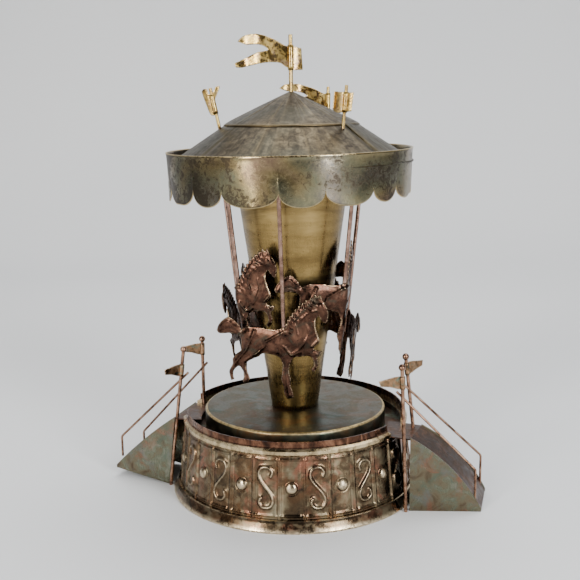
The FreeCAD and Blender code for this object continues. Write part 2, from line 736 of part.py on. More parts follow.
def arbor(start, end, y, radius=None):
    radius = radius or size("arbor_radius")
    return Part.makeCylinder(radius, end - start, Vector(start, y, size("arbor_level")), Vector(1, 0, 0))


def make_bed():
    level, gauge = size("bed_level"), size("bed_gauge")
    base = block("BedBlank", Vector(-18, -27, level), (67, 54, gauge))
    hole = doc.addObject("Part::Cylinder", "ArborHole")
    hole.setExpression("Radius", bound("key_arbor_radius + running_gap"))
    hole.setExpression("Height", bound("bed_gauge * 3"))
    hole.Placement = Placement(Vector(0, 0, level - gauge), Rotation())
    keep("bedplate", cut("Bedplate", base, hole))
    places = [(-14.5, -20.0), (-14.5, 20.0), (45.5, -22.5)]
    top = size("deck_level - deck_gauge")
    head_depth, slot_depth, slot_width, slot_length = 1.0, 0.4, 0.5, 6.0
    pillars = []
    screws = []
    for index, (x, y) in enumerate(places):
        foot = Vector(x, y, level)
        stand = foot + Vector(0, 0, gauge)
        pillars.append(rod_between(f"Pillar{index}", stand, Vector(x, y, top), "pillar_radius"))
        head = rod_between(f"ScrewHead{index}", foot - Vector(0, 0, head_depth), foot, "pillar_radius")
        corner = foot - Vector(slot_length / 2, slot_width / 2, head_depth + 0.5)
        slot = block(f"ScrewSlot{index}", corner, (slot_length, slot_width, slot_depth + 0.5))
        screws.append(cut(f"PillarScrew{index}", head, slot))
    keep("bedplate_pillars", group("BedplatePillars", pillars))
    keep("pillar_screws", group("PillarScrews", screws))


def make_comb():
    """Tuned steel comb screwed to its base, its teeth reaching to the cylinder."""
    start, end = size("cylinder_start"), size("cylinder_end")
    back, tip = size("comb_back"), -size("cylinder_radius + comb_gap")
    gauge = size("comb_gauge")
    underside = size("arbor_level") - gauge / 2
    floor = size("bed_level + bed_gauge")
    keep("comb_base", block("CombBase", Vector(start, back, floor), (end - start, 6.5, underside - floor)))
    blank = Part.makeBox(end - start, tip - back, gauge, Vector(start, back, underside))
    pitch = (end - start) / COMB_TEETH
    slot_width, slot_length = 0.25, 8.4
    through = 3 * gauge
    first = Vector(start - slot_width / 2, tip - slot_length, underside - gauge)
    slots = [Part.makeBox(slot_width, slot_length + gauge, through, first + Vector(pitch * index, 0, 0))
             for index in range(1, COMB_TEETH)]
    feet = [Vector(x, back + 3.2, underside) for x in (21.0, 33.0)]
    below = Vector(0, 0, -gauge)
    holes = [Part.makeCylinder(size("screw_radius"), through, foot + below) for foot in feet]
    keep("comb", feature("Comb", blank.cut(slots + holes)))
    screws = []
    for index, foot in enumerate(feet):
        seat = foot + Vector(0, 0, gauge)
        shank = rod_between(f"CombShank{index}", foot, seat, "screw_radius")
        head = rod_between(f"CombHead{index}", seat, seat + Vector(0, 0, 1.0), "screw_radius * 1.9")
        screws.append(fuse(f"CombScrew{index}", [shank, head]))
    keep("comb_screws", group("CombScrews", screws))


def bearing_plate(label, x, y_from, y_to, bores):
    """Upright plate across the arbors, on the bedplate; bores are (y, radius) of its running holes."""
    floor = size("bed_level + bed_gauge")
    gauge = size("plate_gauge")
    blank = Part.makeBox(gauge, y_to - y_from, size("plate_head") - floor, Vector(x, y_from, floor))
    gap = size("running_gap")
    holes = [arbor(x - gauge, x + 2 * gauge, y, radius + gap) for y, radius in bores]
    return feature(label, blank.cut(holes))


def make_cylinder():
    start, end = size("cylinder_start"), size("cylinder_end")
    thick = size("arbor_radius")
    half_width = 3.4
    brackets = [bearing_plate(f"Bracket_{name}", x, -half_width, half_width, [(0.0, thick)])
                for name, x in (("near", 14.4), ("far", 44.6))]
    keep("cylinder_brackets", group("CylinderBrackets", brackets))
    near, far = 11.0, 47.0
    pinion = gear(CYLINDER_PINION_TEETH, near, 2.2, 0.0, 0.5)
    keep("cylinder_arbor", feature("CylinderArbor", arbor(near, far, 0.0).fuse(pinion)))
    level = size("arbor_level")
    drum = arbor(start, end, 0.0, size("cylinder_radius"))
    pins = []
    pitch = (end - start) / COMB_TEETH
    root, length = 0.1, 0.55
    for index in range(COMB_TEETH):
        # two notes to each tooth, spread round the cylinder
        for turn in (37 * index % 360, (61 * index + 140) % 360):
            pin = Part.makeCylinder(size("pin_radius"), length, Vector(0, 0, size("cylinder_radius") - root))
            pin.rotate(Vector(), Vector(1, 0, 0), turn)
            pin.translate(Vector(start + pitch * (index + 0.5), 0, level))
            pins.append(pin)
    bore = arbor(start - 1, end + 1, 0.0)
    keep("music_cylinder", feature("MusicCylinder", drum.fuse(pins).cut(bore)))
    wheel = gear(CYLINDER_WHEEL_TEETH, 39.0, size("wheel_gauge"), 0.0, 0.0).cut(arbor(near, far, 0.0))
    keep("cylinder_wheel", feature("CylinderWheel", wheel))


def make_governor():
    module, thick, thin = size("gear_module"), size("arbor_radius"), size("fan_arbor_radius")
    middle_y = (CYLINDER_WHEEL_TEETH + MIDDLE_PINION_TEETH) * module / 2
    fan_y = middle_y + (MIDDLE_WHEEL_TEETH + FAN_PINION_TEETH) * module / 2
    # the wheels mesh side by side along +Y: a tooth of one faces a space of the next
    facing = 0.25
    far = 46.4
    middle_phase = MIDDLE_PINION_TEETH * (1 - facing) + 0.5 + CYLINDER_WHEEL_TEETH * facing
    pinion = gear(MIDDLE_PINION_TEETH, 38.6, size("pinion_length"), middle_y, middle_phase)
    keep("intermediate_arbor", feature("IntermediateArbor", arbor(35.5, far, middle_y).fuse(pinion)))
    wheel = gear(MIDDLE_WHEEL_TEETH, 42.2, size("wheel_gauge"), middle_y, 0.0).cut(arbor(35.5, far, middle_y))
    keep("intermediate_wheel", feature("IntermediateWheel", wheel))
    fan_phase = FAN_PINION_TEETH * (1 - facing) + 0.5 + MIDDLE_WHEEL_TEETH * facing
    fan_pinion = gear(FAN_PINION_TEETH, 41.8, size("pinion_length"), fan_y, fan_phase)
    fan_arbor = arbor(20.0, far, fan_y, thin)
    keep("governor_arbor", feature("GovernorArbor", fan_arbor.fuse(fan_pinion)))
    radius, level = size("fan_radius"), size("arbor_level")
    near, length, gauge = 24.0, 8.0, 0.5
    blade = Part.makeBox(length, radius * 2, gauge, Vector(near, fan_y - radius, level - gauge / 2))
    boss = arbor(near, near + length, fan_y, size("fan_boss_radius"))
    keep("governor_fan", feature("GovernorFan", blade.fuse(boss).cut(fan_arbor)))
    edge = 3.0
    bores = [(middle_y, thick), (fan_y, thin)]
    frames = [
        bearing_plate("GovernorPlateNear", 36.2, middle_y - 2.2, fan_y + edge, bores),
        bearing_plate("GovernorPlateFar", 44.6, middle_y - 6.0, fan_y + edge, bores),
        bearing_plate("GovernorPlateFan", 21.0, fan_y - edge, fan_y + edge, [(fan_y, thin)])]
    keep("governor_bracket", group("GovernorBracket", frames))


def make_barrel():
    """Spring barrel with a crown of upright teeth on its flange, closed above by the drive shaft."""
    radius, gauge = size("barrel_radius"), size("barrel_gauge")
    foot, head = size("barrel_foot"), size("barrel_head")
    pitch_level = size("arbor_level") - CYLINDER_PINION_TEETH * size("gear_module") / 2
    rim = size("crown_radius") + 1.2
    floor, tip = pitch_level - 0.7, pitch_level + 0.42
    bore = size("key_arbor_radius + running_gap")
    outline = [(bore, foot), (radius, foot), (radius, floor - 1.0), (rim, floor - 1.0), (rim, floor),
               (radius, floor), (radius, head), (0, head), (0, head - gauge), (radius - gauge, head - gauge),
               (radius - gauge, foot + gauge), (bore, foot + gauge)]
    points = [Vector(x, 0, z) for x, z in outline]
    body = Part.Face(Part.makePolygon(points + points[:1])).revolve(Vector(), Vector(0, 0, 1), 360)
    root_half, tip_half, sunk = 0.42, 0.17, 0.2
    start = radius - sunk
    section = [Vector(start, -root_half, floor - sunk / 2), Vector(start, root_half, floor - sunk / 2),
               Vector(start, tip_half, tip), Vector(start, -tip_half, tip)]
    tooth = Part.Face(Part.makePolygon(section + section[:1])).extrude(Vector(rim - start, 0, 0))
    step = 360.0 / CROWN_TEETH
    teeth = [tooth.rotated(Vector(), Vector(0, 0, 1), index * step) for index in range(CROWN_TEETH)]
    keep("spring_barrel", feature("SpringBarrel", body.fuse(teeth).removeSplitter()))


def make_mainspring():
    """Flat spiral strip between the barrel's wall and the winding arbor."""
    foot, head, gauge = size("barrel_foot"), size("barrel_head"), size("barrel_gauge")
    inner, outer = size("key_arbor_radius") + 1.2, size("barrel_radius") - gauge - 0.3
    turns, strip, end_gap = 9, 0.25, 0.6
    steps = turns * 24
    sides = {}
    for side in (0.0, strip):
        spread = [(inner + side + (outer - strip - inner) * step / steps, step * 360.0 * turns / steps)
                  for step in range(steps + 1)]
        curve = Part.BSplineCurve()
        curve.interpolate([azimuth_vector(angle, radius, foot + gauge + end_gap) for radius, angle in spread])
        sides[side] = curve.toShape()
    ends = [Part.LineSegment(sides[0.0].Vertexes[end].Point, sides[strip].Vertexes[end].Point).toShape()
            for end in (0, 1)]
    face = Part.Face(Part.Wire([sides[0.0], ends[1], sides[strip], ends[0]]))
    keep("mainspring", feature("Mainspring", face.extrude(Vector(0, 0, head - foot - 2 * (gauge + end_gap)))))


def make_key():
    """Winding arbor up into the barrel, and a key with two pierced wings on its lower end."""
    low = size("key_level")
    seat_level = low + 1.6
    top = size("barrel_head - barrel_gauge") - 0.4
    keep("winding_arbor", rod_between("WindingArbor", Vector(0, 0, seat_level), Vector(0, 0, top),
                                      "key_arbor_radius"))
    hub = Part.makeCylinder(2.8, 6.0, Vector(0, 0, low))
    wing_level, gauge = low + 4.2, 1.6
    across = Vector(0, 1, 0)
    wings = [Part.makeCylinder(4.2, gauge, Vector(side * 6.4, -gauge / 2, wing_level), across)
             for side in (-1, 1)]
    eyes = [Part.makeCylinder(1.9, 4.0, Vector(side * 6.9, -2.0, wing_level), across) for side in (-1, 1)]
    seat = Part.makeCylinder(size("key_arbor_radius"), 20.0, Vector(0, 0, seat_level))
    keep("winding_key", feature("WindingKey", hub.fuse(wings).cut(eyes + [seat]).removeSplitter()))


def check_and_export():
    doc.recompute()
    failed = [item.Label for item in doc.Objects if {"Invalid", "Error"} & set(item.State)]
    for label, item in nodes.items():
        shape = item.Shape
        if shape.isNull() or not shape.isValid() or not shape.Solids:
            failed.append(label)
    if failed:
        raise RuntimeError("failed: " + ", ".join(failed))
    os.makedirs("parts", exist_ok=True)
    for label, item in nodes.items():
        item.Shape.exportStep(f"parts/{label}.step")
    print(len(nodes), "nodes")


def main():
    fill_sheet()
    make_drum()
    make_ramps()
    make_pennants()
    make_turntable()
    make_canopy()
    make_top_flag()
    make_roof_flags()
    make_horses()
    make_bed()
    make_comb()
    make_cylinder()
    make_governor()
    make_barrel()
    make_mainspring()
    make_key()
    check_and_export()


main()
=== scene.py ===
import json
import math

import bpy
import numpy as np
from mathutils import Matrix, Vector, geometry


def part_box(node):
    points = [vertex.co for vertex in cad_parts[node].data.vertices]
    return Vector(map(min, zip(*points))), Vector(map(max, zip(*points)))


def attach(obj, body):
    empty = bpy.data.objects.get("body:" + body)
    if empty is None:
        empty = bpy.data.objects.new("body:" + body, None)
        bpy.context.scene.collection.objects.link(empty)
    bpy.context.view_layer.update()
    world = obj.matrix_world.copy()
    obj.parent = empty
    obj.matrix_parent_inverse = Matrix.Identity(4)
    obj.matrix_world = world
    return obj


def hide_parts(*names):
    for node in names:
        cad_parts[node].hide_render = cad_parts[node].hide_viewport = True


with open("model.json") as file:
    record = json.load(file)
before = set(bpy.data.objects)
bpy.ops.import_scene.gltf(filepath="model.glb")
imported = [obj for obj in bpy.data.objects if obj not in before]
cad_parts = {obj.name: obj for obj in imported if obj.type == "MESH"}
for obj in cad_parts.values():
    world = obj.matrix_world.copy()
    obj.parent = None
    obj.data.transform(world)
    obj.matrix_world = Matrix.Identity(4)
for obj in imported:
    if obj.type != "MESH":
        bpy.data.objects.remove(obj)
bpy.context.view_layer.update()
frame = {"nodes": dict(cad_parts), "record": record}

MM = 0.001
TURN = 2 * math.pi
FRONT = -math.pi / 2


def low(node):
    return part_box(node)[0]


def high(node):
    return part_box(node)[1]


# ---- camera, lights and stage ----

# Places are in millimetres, angles in degrees and the lamps' aim in metres.
SENSOR_WIDTH = 36.0
LENS = 59.4
EYE_PLACE = (-1.85, -479.2, 198.4)
EYE_DIP = 11.17
EYE_ROLL = -0.77
AIM_LEVEL = 0.11


def make_camera():
    """Stands in front of the box and a little above it, looking slightly down."""
    camera = bpy.data.cameras.new("camera")
    camera.sensor_width = SENSOR_WIDTH
    camera.lens = LENS
    camera.clip_start = 0.01
    eye = bpy.data.objects.new("camera", camera)
    pitch, roll = math.radians(90 - EYE_DIP), math.radians(EYE_ROLL)
    turn = Matrix.Rotation(pitch, 4, "X") @ Matrix.Rotation(roll, 4, "Z")
    eye.matrix_world = Matrix.Translation(Vector(EYE_PLACE) * MM) @ turn
    bpy.context.scene.collection.objects.link(eye)
    bpy.context.scene.camera = eye


def make_lamp(name, azimuth, level, distance, width, height, power, tint=(1.0, 1.0, 1.0)):
    """Rectangular light aimed at the box's middle: azimuth in degrees from the front, sizes in metres."""
    light = bpy.data.lights.new(name, "AREA")
    light.shape = "RECTANGLE"
    light.size, light.size_y = width, height
    light.energy = power
    light.color = tint
    angle = math.radians(azimuth) + FRONT
    place = Vector((distance * math.cos(angle), distance * math.sin(angle), level))
    lamp = bpy.data.objects.new(name, light)
    aim = Vector((0, 0, AIM_LEVEL)) - place
    turn = aim.to_track_quat("-Z", "Y").to_matrix().to_4x4()
    lamp.matrix_world = Matrix.Translation(place) @ turn
    bpy.context.scene.collection.objects.link(lamp)


def make_world():
    """Soft room light: pale beyond the box and overhead, dimmer on the side where the camera stands."""
    world = bpy.data.worlds.new("room")
    bpy.context.scene.world = world
    world.use_nodes = True
    tree = world.node_tree
    tree.nodes.clear()
    output = tree.nodes.new("ShaderNodeOutputWorld")
    shade = tree.nodes.new("ShaderNodeBackground")
    ramp = tree.nodes.new("ShaderNodeValToRGB")
    direction = tree.nodes.new("ShaderNodeVectorMath")
    direction.operation = "DOT_PRODUCT"
    direction.inputs[1].default_value = (0.10, 0.72, 0.55)
    scale = tree.nodes.new("ShaderNodeMapRange")
    scale.inputs["From Min"].default_value = -0.75
    scale.inputs["From Max"].default_value = 0.75
    coordinates = tree.nodes.new("ShaderNodeTexCoord")
    tree.links.new(coordinates.outputs["Generated"], direction.inputs[0])
    tree.links.new(direction.outputs["Value"], scale.inputs["Value"])
    tree.links.new(scale.outputs[0], ramp.inputs[0])
    ramp.color_ramp.elements[0].color = (0.045, 0.040, 0.036, 1)
    ramp.color_ramp.elements[1].color = (0.66, 0.70, 0.74, 1)
    middle = ramp.color_ramp.elements.new(0.45)
    middle.color = (0.14, 0.13, 0.12, 1)
    tree.links.new(ramp.outputs[0], shade.inputs["Color"])
    shade.inputs["Strength"].default_value = 1.0
    tree.links.new(shade.outputs[0], output.inputs["Surface"])


def make_stage():
    """Pale floor that turns up into a pale wall far behind the box."""
    half, front, back, radius, wall = 1.6, -1.2, 1.0, 0.35, 1.4
    line = [(front, 0.0), (back - radius, 0.0)]
    steps = 12
    for step in range(1, steps + 1):
        angle = step / steps * math.pi / 2
        line.append((back - radius + radius * math.sin(angle), radius - radius * math.cos(angle)))
    line.append((back, wall))
    points = np.array([[(x, y, z) for y, z in line] for x in (-half, half)])
    floor = grid_object("floor", points)
    floor.data.materials.append(stage_finish())


# ---- finishes ----

class Finish:
    """One procedural finish: textures read at the piece's own place, in millimetres."""

    def __init__(self, name):
        self.material = bpy.data.materials.new(name)
        self.material.use_nodes = True
        self.tree = self.material.node_tree
        self.shader = self.tree.nodes["Principled BSDF"]
        place = self.tree.nodes.new("ShaderNodeTexCoord")
        scale = self.add("VectorMath", operation="SCALE")
        scale.inputs["Scale"].default_value = 1.0 / MM
        self.tree.links.new(place.outputs["Object"], scale.inputs[0])
        self.place = scale.outputs[0]

    def add(self, kind, **settings):
        node = self.tree.nodes.new("ShaderNode" + kind)
        for key, value in settings.items():
            setattr(node, key, value)
        return node

    def feed(self, node, **values):
        """Set or link a node's inputs by name; underscores stand for spaces."""
        for key, value in values.items():
            self.socket(node.inputs[key.replace("_", " ")], value)
        return node

    def socket(self, socket, value):
        if isinstance(value, bpy.types.NodeSocket):
            self.tree.links.new(value, socket)
        else:
            socket.default_value = value

    def stretch(self, x, y, z, source=None):
        node = self.add("VectorMath", operation="MULTIPLY")
        self.socket(node.inputs[0], source or self.place)
        node.inputs[1].default_value = (x, y, z)
        return node.outputs[0]

    def polar(self, around, along, up):
        """Place as (azimuth, radius, height), for streaks that run round or down a turned piece."""
        split = self.add("SeparateXYZ")
        self.socket(split.inputs[0], self.place)
        angle = self.math("ARCTAN2", split.outputs[1], split.outputs[0])
        square = self.math("ADD", self.math("MULTIPLY", split.outputs[0], split.outputs[0]),
                           self.math("MULTIPLY", split.outputs[1], split.outputs[1]))
        radius = self.math("SQRT", square, 0.0)
        join = self.add("CombineXYZ")
        values = (angle, radius, split.outputs[2])
        for socket, value, factor in zip(join.inputs, values, (around, along, up)):
            self.socket(socket, self.math("MULTIPLY", value, factor))
        return join.outputs[0]

    def math(self, operation, first, second=0.5, clamp=False):
        node = self.add("Math", operation=operation, use_clamp=clamp)
        self.socket(node.inputs[0], first)
        self.socket(node.inputs[1], second)
        return node.outputs[0]

    def noise(self, size, where=None, detail=4.0, rough=0.55, twist=0.0):
        """Cloudy noise whose patches are about size millimetres across."""
        node = self.add("TexNoise")
        self.feed(node, Vector=where or self.place, Scale=1.0 / size, Detail=detail,
                  Roughness=rough, Distortion=twist)
        return node.outputs["Fac"]

    def ramp(self, value, stops):
        node = self.add("ValToRGB")
        self.socket(node.inputs[0], value)
        elements = node.color_ramp.elements
        while len(elements) < len(stops):
            elements.new(0.5)
        for element, (position, colour) in zip(elements, stops):
            element.position = position
            element.color = (*colour, 1)
        return node.outputs[0]

    def level(self, value, start, end, out_start=0.0, out_end=1.0):
        node = self.add("MapRange", interpolation_type="SMOOTHSTEP")
        self.feed(node, Value=value, From_Min=start, From_Max=end, To_Min=out_start, To_Max=out_end)
        return node.outputs[0]

    def mix(self, amount, first, second):
        """Blend from the first colour to the second; a Mix node's colour sockets are its inputs 6 and 7."""
        node = self.add("Mix", data_type="RGBA")
        self.socket(node.inputs[0], amount)
        for socket, colour in zip(node.inputs[6:8], (first, second)):
            self.socket(socket, colour if isinstance(colour, bpy.types.NodeSocket) else (*colour, 1))
        return node.outputs[2]

    def attribute(self, name):
        return self.add("Attribute", attribute_name=name).outputs["Fac"]

    def bump(self, height, strength, distance, below=None):
        node = self.add("Bump")
        self.feed(node, Height=height, Strength=strength, Distance=distance * MM)
        if below:
            self.socket(node.inputs["Normal"], below)
        return node.outputs[0]

    def finish(self, colour, roughness, normal=None, metallic=1.0):
        self.feed(self.shader, Base_Color=colour, Roughness=roughness, Metallic=metallic)
        if normal:
            self.socket(self.shader.inputs["Normal"], normal)
        return self.material


def patina(name, base, blotches, size, rough, grainwise=None, twist=0.6, grain=0.25, dents=0.15, edge=None):
    """Old sheet metal: a base ramp in small clouds, a list of (colour, patch size, share) blotches over it,
    and optionally a bright edge colour where the mesh marks raised edges and ridges, partly rubbed wear and
    partly a painted highlight. The clouds are drawn out along the axes whose grainwise factor is small."""
    kit = Finish(name)
    source = kit.stretch(*grainwise) if grainwise else None
    clouds = kit.noise(size, source, detail=7.0, rough=0.62, twist=twist)
    colour = kit.ramp(clouds, base)
    dull = kit.level(clouds, 0.35, 0.65)
    for index, (tint, patch, share) in enumerate(blotches):
        shift = kit.add("VectorMath", operation="ADD")
        kit.socket(shift.inputs[0], source or kit.place)
        shift.inputs[1].default_value = Vector((31.0, -17.0, 11.0)) * (index + 1)
        spot = kit.noise(patch, shift.outputs[0], detail=8.0, rough=0.65, twist=1.2)
        amount = kit.level(spot, 0.56 - share * 0.3, 0.80 - share * 0.3)
        colour = kit.mix(amount, colour, tint)
    if edge:
        # Painted highlight mixed with wear: the edge colour brightens raised edges and ridges where they
        # would catch the light, broken up by noise.
        worn_and_lit = kit.level(kit.attribute("wear_and_highlight"), 0.25, 0.8)
        broken = kit.level(kit.noise(1.6, detail=5.0), 0.3, 0.6, 0.35, 1.0)
        colour = kit.mix(kit.math("MULTIPLY", worn_and_lit, broken), colour, edge)
    fine = kit.noise(0.35, detail=3.0)
    scratches = kit.noise(0.9, kit.stretch(1.0, 1.0, 0.15), detail=4.0, rough=0.7)
    roughness = kit.math("ADD", kit.level(dull, 0.0, 1.0, rough[0], rough[1]),
                         kit.level(scratches, 0.35, 0.65, -0.04, 0.05), clamp=True)
    normal = kit.bump(kit.noise(5.0, detail=2.0), dents, 0.5)
    normal = kit.bump(fine, grain, 0.03, normal)
    return kit.finish(colour, roughness, normal)


def skirt_finish():
    """Bright brass with fine dark speckling that comes and goes, thicker towards the left as painted shade,
    and soft temper tints.
    """
    kit = Finish("skirt_brass")
    fine = kit.noise(2.2, detail=9.0, rough=0.72, twist=0.8)
    drift = kit.noise(26.0, detail=2.0, twist=0.5)
    colour = kit.ramp(fine, [(0.34, (0.075, 0.052, 0.028)), (0.48, (0.165, 0.122, 0.058)),
                             (0.66, (0.320, 0.250, 0.128))])
    tint = kit.ramp(kit.noise(34.0, kit.stretch(1.0, 1.0, 1.6), detail=1.5, twist=0.6),
                    [(0.34, (0.170, 0.105, 0.085)), (0.46, (0.230, 0.178, 0.085)),
                     (0.56, (0.120, 0.150, 0.108)), (0.68, (0.115, 0.120, 0.140))])
    colour = kit.mix(0.45, colour, tint)
    across = kit.add("SeparateXYZ")
    kit.socket(across.inputs[0], kit.place)
    # More dark speckle on the left side of the skirt: real speckle, with painted shade added by place.
    speckle_and_shade_left = kit.level(across.outputs[0], -55.0, 25.0, 0.13, -0.04)
    cover = kit.math("ADD", kit.level(drift, 0.38, 0.64, -0.10, 0.10), speckle_and_shade_left)
    speckle = kit.level(kit.math("ADD", fine, cover), 0.48, 0.62)
    colour = kit.mix(kit.math("MULTIPLY", speckle, 0.88), colour, (0.030, 0.022, 0.016))
    # Painted highlight with some wear: the hem and rolled rim are made brighter.
    colour = kit.mix(kit.level(kit.attribute("wear_and_highlight"), 0.3, 0.8), colour, (0.480, 0.370, 0.190))
    roughness = kit.math("ADD", kit.level(speckle, 0.0, 1.0, 0.20, 0.42),
                         kit.level(fine, 0.3, 0.7, -0.03, 0.05))
    normal = kit.bump(kit.noise(7.0, detail=2.0), 0.14, 0.6)
    normal = kit.bump(speckle, 0.12, 0.05, normal)
    return kit.finish(colour, roughness, normal)


def roof_finish():
    """Dull brown bronze, mottled finely, with streaks that run down from the crown; raised creases painted
    brighter (partly wear, partly painted highlight) and the cap's lip a painted highlight line.
    """
    kit = Finish("roof_bronze")
    streaks = kit.noise(1.0, kit.polar(22.0, 0.05, 0.05), detail=5.0, rough=0.6, twist=0.4)
    mottle = kit.noise(3.2, detail=8.0, rough=0.7, twist=0.6)
    blend = kit.math("ADD", kit.math("MULTIPLY", streaks, 0.28), kit.math("MULTIPLY", mottle, 0.72))
    colour = kit.ramp(blend, [(0.36, (0.022, 0.016, 0.010)), (0.50, (0.058, 0.044, 0.025)),
                              (0.64, (0.125, 0.098, 0.056))])
    drift = kit.level(kit.noise(30.0, detail=2.0), 0.42, 0.62)
    colour = kit.mix(kit.math("MULTIPLY", drift, 0.5), colour, (0.050, 0.050, 0.036))
    # Painted highlight: raised creases and the cap's lip are brighter, with some wear on the creases.
    colour = kit.mix(kit.math("MULTIPLY", kit.attribute("wear_and_highlight"), 0.5), colour, (0.240, 0.180, 0.095))
    roughness = kit.level(blend, 0.35, 0.65, 0.52, 0.36)
    normal = kit.bump(streaks, 0.30, 0.12)
    normal = kit.bump(mottle, 0.25, 0.08, normal)
    return kit.finish(colour, roughness, normal)


# Levels in millimetres between which the rolled bead gives way to the band.
BEAD_TOP = (38.9, 39.5)


def rim_finish():
    """Red copper band over a rolled bead painted brighter, partly the bead's own lighter tone and partly a
    painted highlight; the change of colour follows the bead's top.
    """
    kit = Finish("rim_copper")
    clouds = kit.noise(5.0, kit.stretch(1.0, 1.0, 0.6), detail=7.0, rough=0.62, twist=0.8)
    band = kit.ramp(clouds, [(0.34, (0.028, 0.016, 0.012)), (0.50, (0.110, 0.050, 0.030)),
                             (0.62, (0.220, 0.110, 0.065)), (0.74, (0.150, 0.135, 0.085))])
    # The bead's colours are a brighter copy of the band's: partly its own tone, partly a painted highlight on
    # the rounded bead.
    rolled = kit.ramp(clouds, [(0.34, (0.210, 0.150, 0.085)), (0.50, (0.480, 0.370, 0.210)),
                               (0.70, (0.640, 0.520, 0.330))])
    level = kit.add("SeparateXYZ")
    kit.socket(level.inputs[0], kit.place)
    colour = kit.mix(kit.level(level.outputs[2], *BEAD_TOP), rolled, band)
    roughness = kit.level(clouds, 0.35, 0.65, 0.18, 0.34)
    return kit.finish(colour, roughness, kit.bump(kit.noise(4.0, detail=2.0), 0.15, 0.4))


def make_finishes():
    """One finish for each of the record's slots."""
    black, brown, verdigris = (0.030, 0.022, 0.016), (0.110, 0.060, 0.030), (0.115, 0.175, 0.135)
    # Each edge colour is painted on raised edges and ridges: partly rubbed wear, partly a painted highlight.
    return {
        "drum_brass": patina(
            "drum_brass", [(0.30, black), (0.44, (0.090, 0.062, 0.036)), (0.58, (0.175, 0.140, 0.086)),
                           (0.74, (0.270, 0.235, 0.155))],
            [((0.250, 0.105, 0.065), 12.0, 0.28), (brown, 16.0, 0.38)],
            size=7.0, rough=(0.20, 0.38), edge=(0.66, 0.54, 0.36)),
        "rim_copper": rim_finish(),
        "deck_copper": patina(
            "deck_copper", [(0.35, (0.020, 0.013, 0.010)), (0.55, (0.075, 0.040, 0.025)), (0.75, brown)],
            [(verdigris, 12.0, 0.22)], size=6.0, rough=(0.30, 0.50)),
        "movement_brass": patina(
            "movement_brass", [(0.3, (0.50, 0.35, 0.12)), (0.6, (0.66, 0.49, 0.20))], [],
            size=14.0, rough=(0.22, 0.32), grainwise=(1.0, 0.2, 1.0)),
        "ramp_deck_copper": patina(
            "ramp_deck_copper", [(0.30, (0.020, 0.012, 0.010)), (0.50, (0.062, 0.034, 0.024)), (0.75, brown)],
            [((0.190, 0.085, 0.050), 5.0, 0.22)], size=6.0, rough=(0.30, 0.46)),
        "ramp_side_copper": patina(
            "ramp_side_copper", [(0.28, (0.075, 0.048, 0.032)), (0.44, (0.160, 0.130, 0.082)),
                                 (0.58, (0.140, 0.150, 0.105)), (0.74, (0.250, 0.235, 0.185))],
            [((0.105, 0.130, 0.095), 16.0, 0.30), ((0.240, 0.110, 0.070), 14.0, 0.22),
             ((0.150, 0.155, 0.135), 14.0, 0.24)],
            size=9.0, rough=(0.14, 0.30), twist=1.2),
        "wire_copper": patina(
            "wire_copper", [(0.3, (0.080, 0.042, 0.028)), (0.5, (0.270, 0.150, 0.095)),
                            (0.7, (0.460, 0.300, 0.210))], [], size=4.0, rough=(0.20, 0.36)),
        "pennant_copper": patina(
            "pennant_copper", [(0.3, black), (0.5, (0.210, 0.120, 0.060)), (0.7, (0.400, 0.240, 0.140))],
            [(verdigris, 5.0, 0.26)], size=3.5, rough=(0.22, 0.40), edge=(0.62, 0.44, 0.28)),
        "movement_steel": patina(
            "movement_steel", [(0.3, (0.36, 0.36, 0.37)), (0.6, (0.54, 0.54, 0.55))], [],
            size=10.0, rough=(0.22, 0.32), grainwise=(1.0, 1.0, 0.2)),
        "fan_aluminium": patina(
            "fan_aluminium", [(0.3, (0.62, 0.62, 0.63)), (0.6, (0.74, 0.74, 0.75))], [],
            size=6.0, rough=(0.3, 0.4)),
        "disc_bronze": patina(
            "disc_bronze", [(0.28, (0.034, 0.032, 0.024)), (0.46, (0.070, 0.066, 0.046)),
                            (0.62, (0.110, 0.090, 0.056)), (0.78, (0.170, 0.140, 0.095))],
            [((0.058, 0.082, 0.066), 24.0, 0.36), (brown, 18.0, 0.34)],
            size=16.0, rough=(0.34, 0.50), twist=1.6, edge=(0.58, 0.43, 0.20)),
        "column_brass": patina(
            "column_brass", [(0.30, (0.125, 0.080, 0.028)), (0.5, (0.225, 0.150, 0.054)),
                             (0.7, (0.320, 0.225, 0.088))],
            [((0.075, 0.046, 0.018), 26.0, 0.26)], size=12.0, rough=(0.24, 0.32),
            grainwise=(0.30, 0.30, 1.3), twist=0.1, grain=0.10, dents=0.06),
        "roof_bronze": roof_finish(),
        "skirt_brass": skirt_finish(),
        "flag_brass": patina(
            "flag_brass", [(0.30, (0.140, 0.070, 0.028)), (0.46, (0.430, 0.280, 0.080)),
                           (0.65, (0.600, 0.440, 0.160))],
            [((0.110, 0.052, 0.030), 3.6, 0.26), ((0.300, 0.200, 0.170), 6.0, 0.20)],
            size=4.0, rough=(0.18, 0.34), edge=(0.78, 0.58, 0.28)),
        "horse_copper": patina(
            "horse_copper", [(0.30, (0.020, 0.012, 0.009)), (0.48, (0.062, 0.030, 0.020)),
                             (0.68, (0.140, 0.070, 0.045))],
            [((0.055, 0.050, 0.036), 7.0, 0.20)], size=4.5, rough=(0.20, 0.36),
            edge=(0.460, 0.330, 0.200)),
        "rod_copper": patina(
            "rod_copper", [(0.3, (0.085, 0.048, 0.036)), (0.5, (0.220, 0.130, 0.095)),
                           (0.7, (0.360, 0.240, 0.190))], [], size=6.0, rough=(0.18, 0.32)),
    }


def stage_finish():
    """Matt off-white card."""
    kit = Finish("stage")
    tone = kit.ramp(kit.noise(400.0, detail=1.0), [(0.3, (0.70, 0.71, 0.72)), (0.7, (0.74, 0.745, 0.75))])
    return kit.finish(tone, 0.75, metallic=0.0)


# ---- mesh building ----

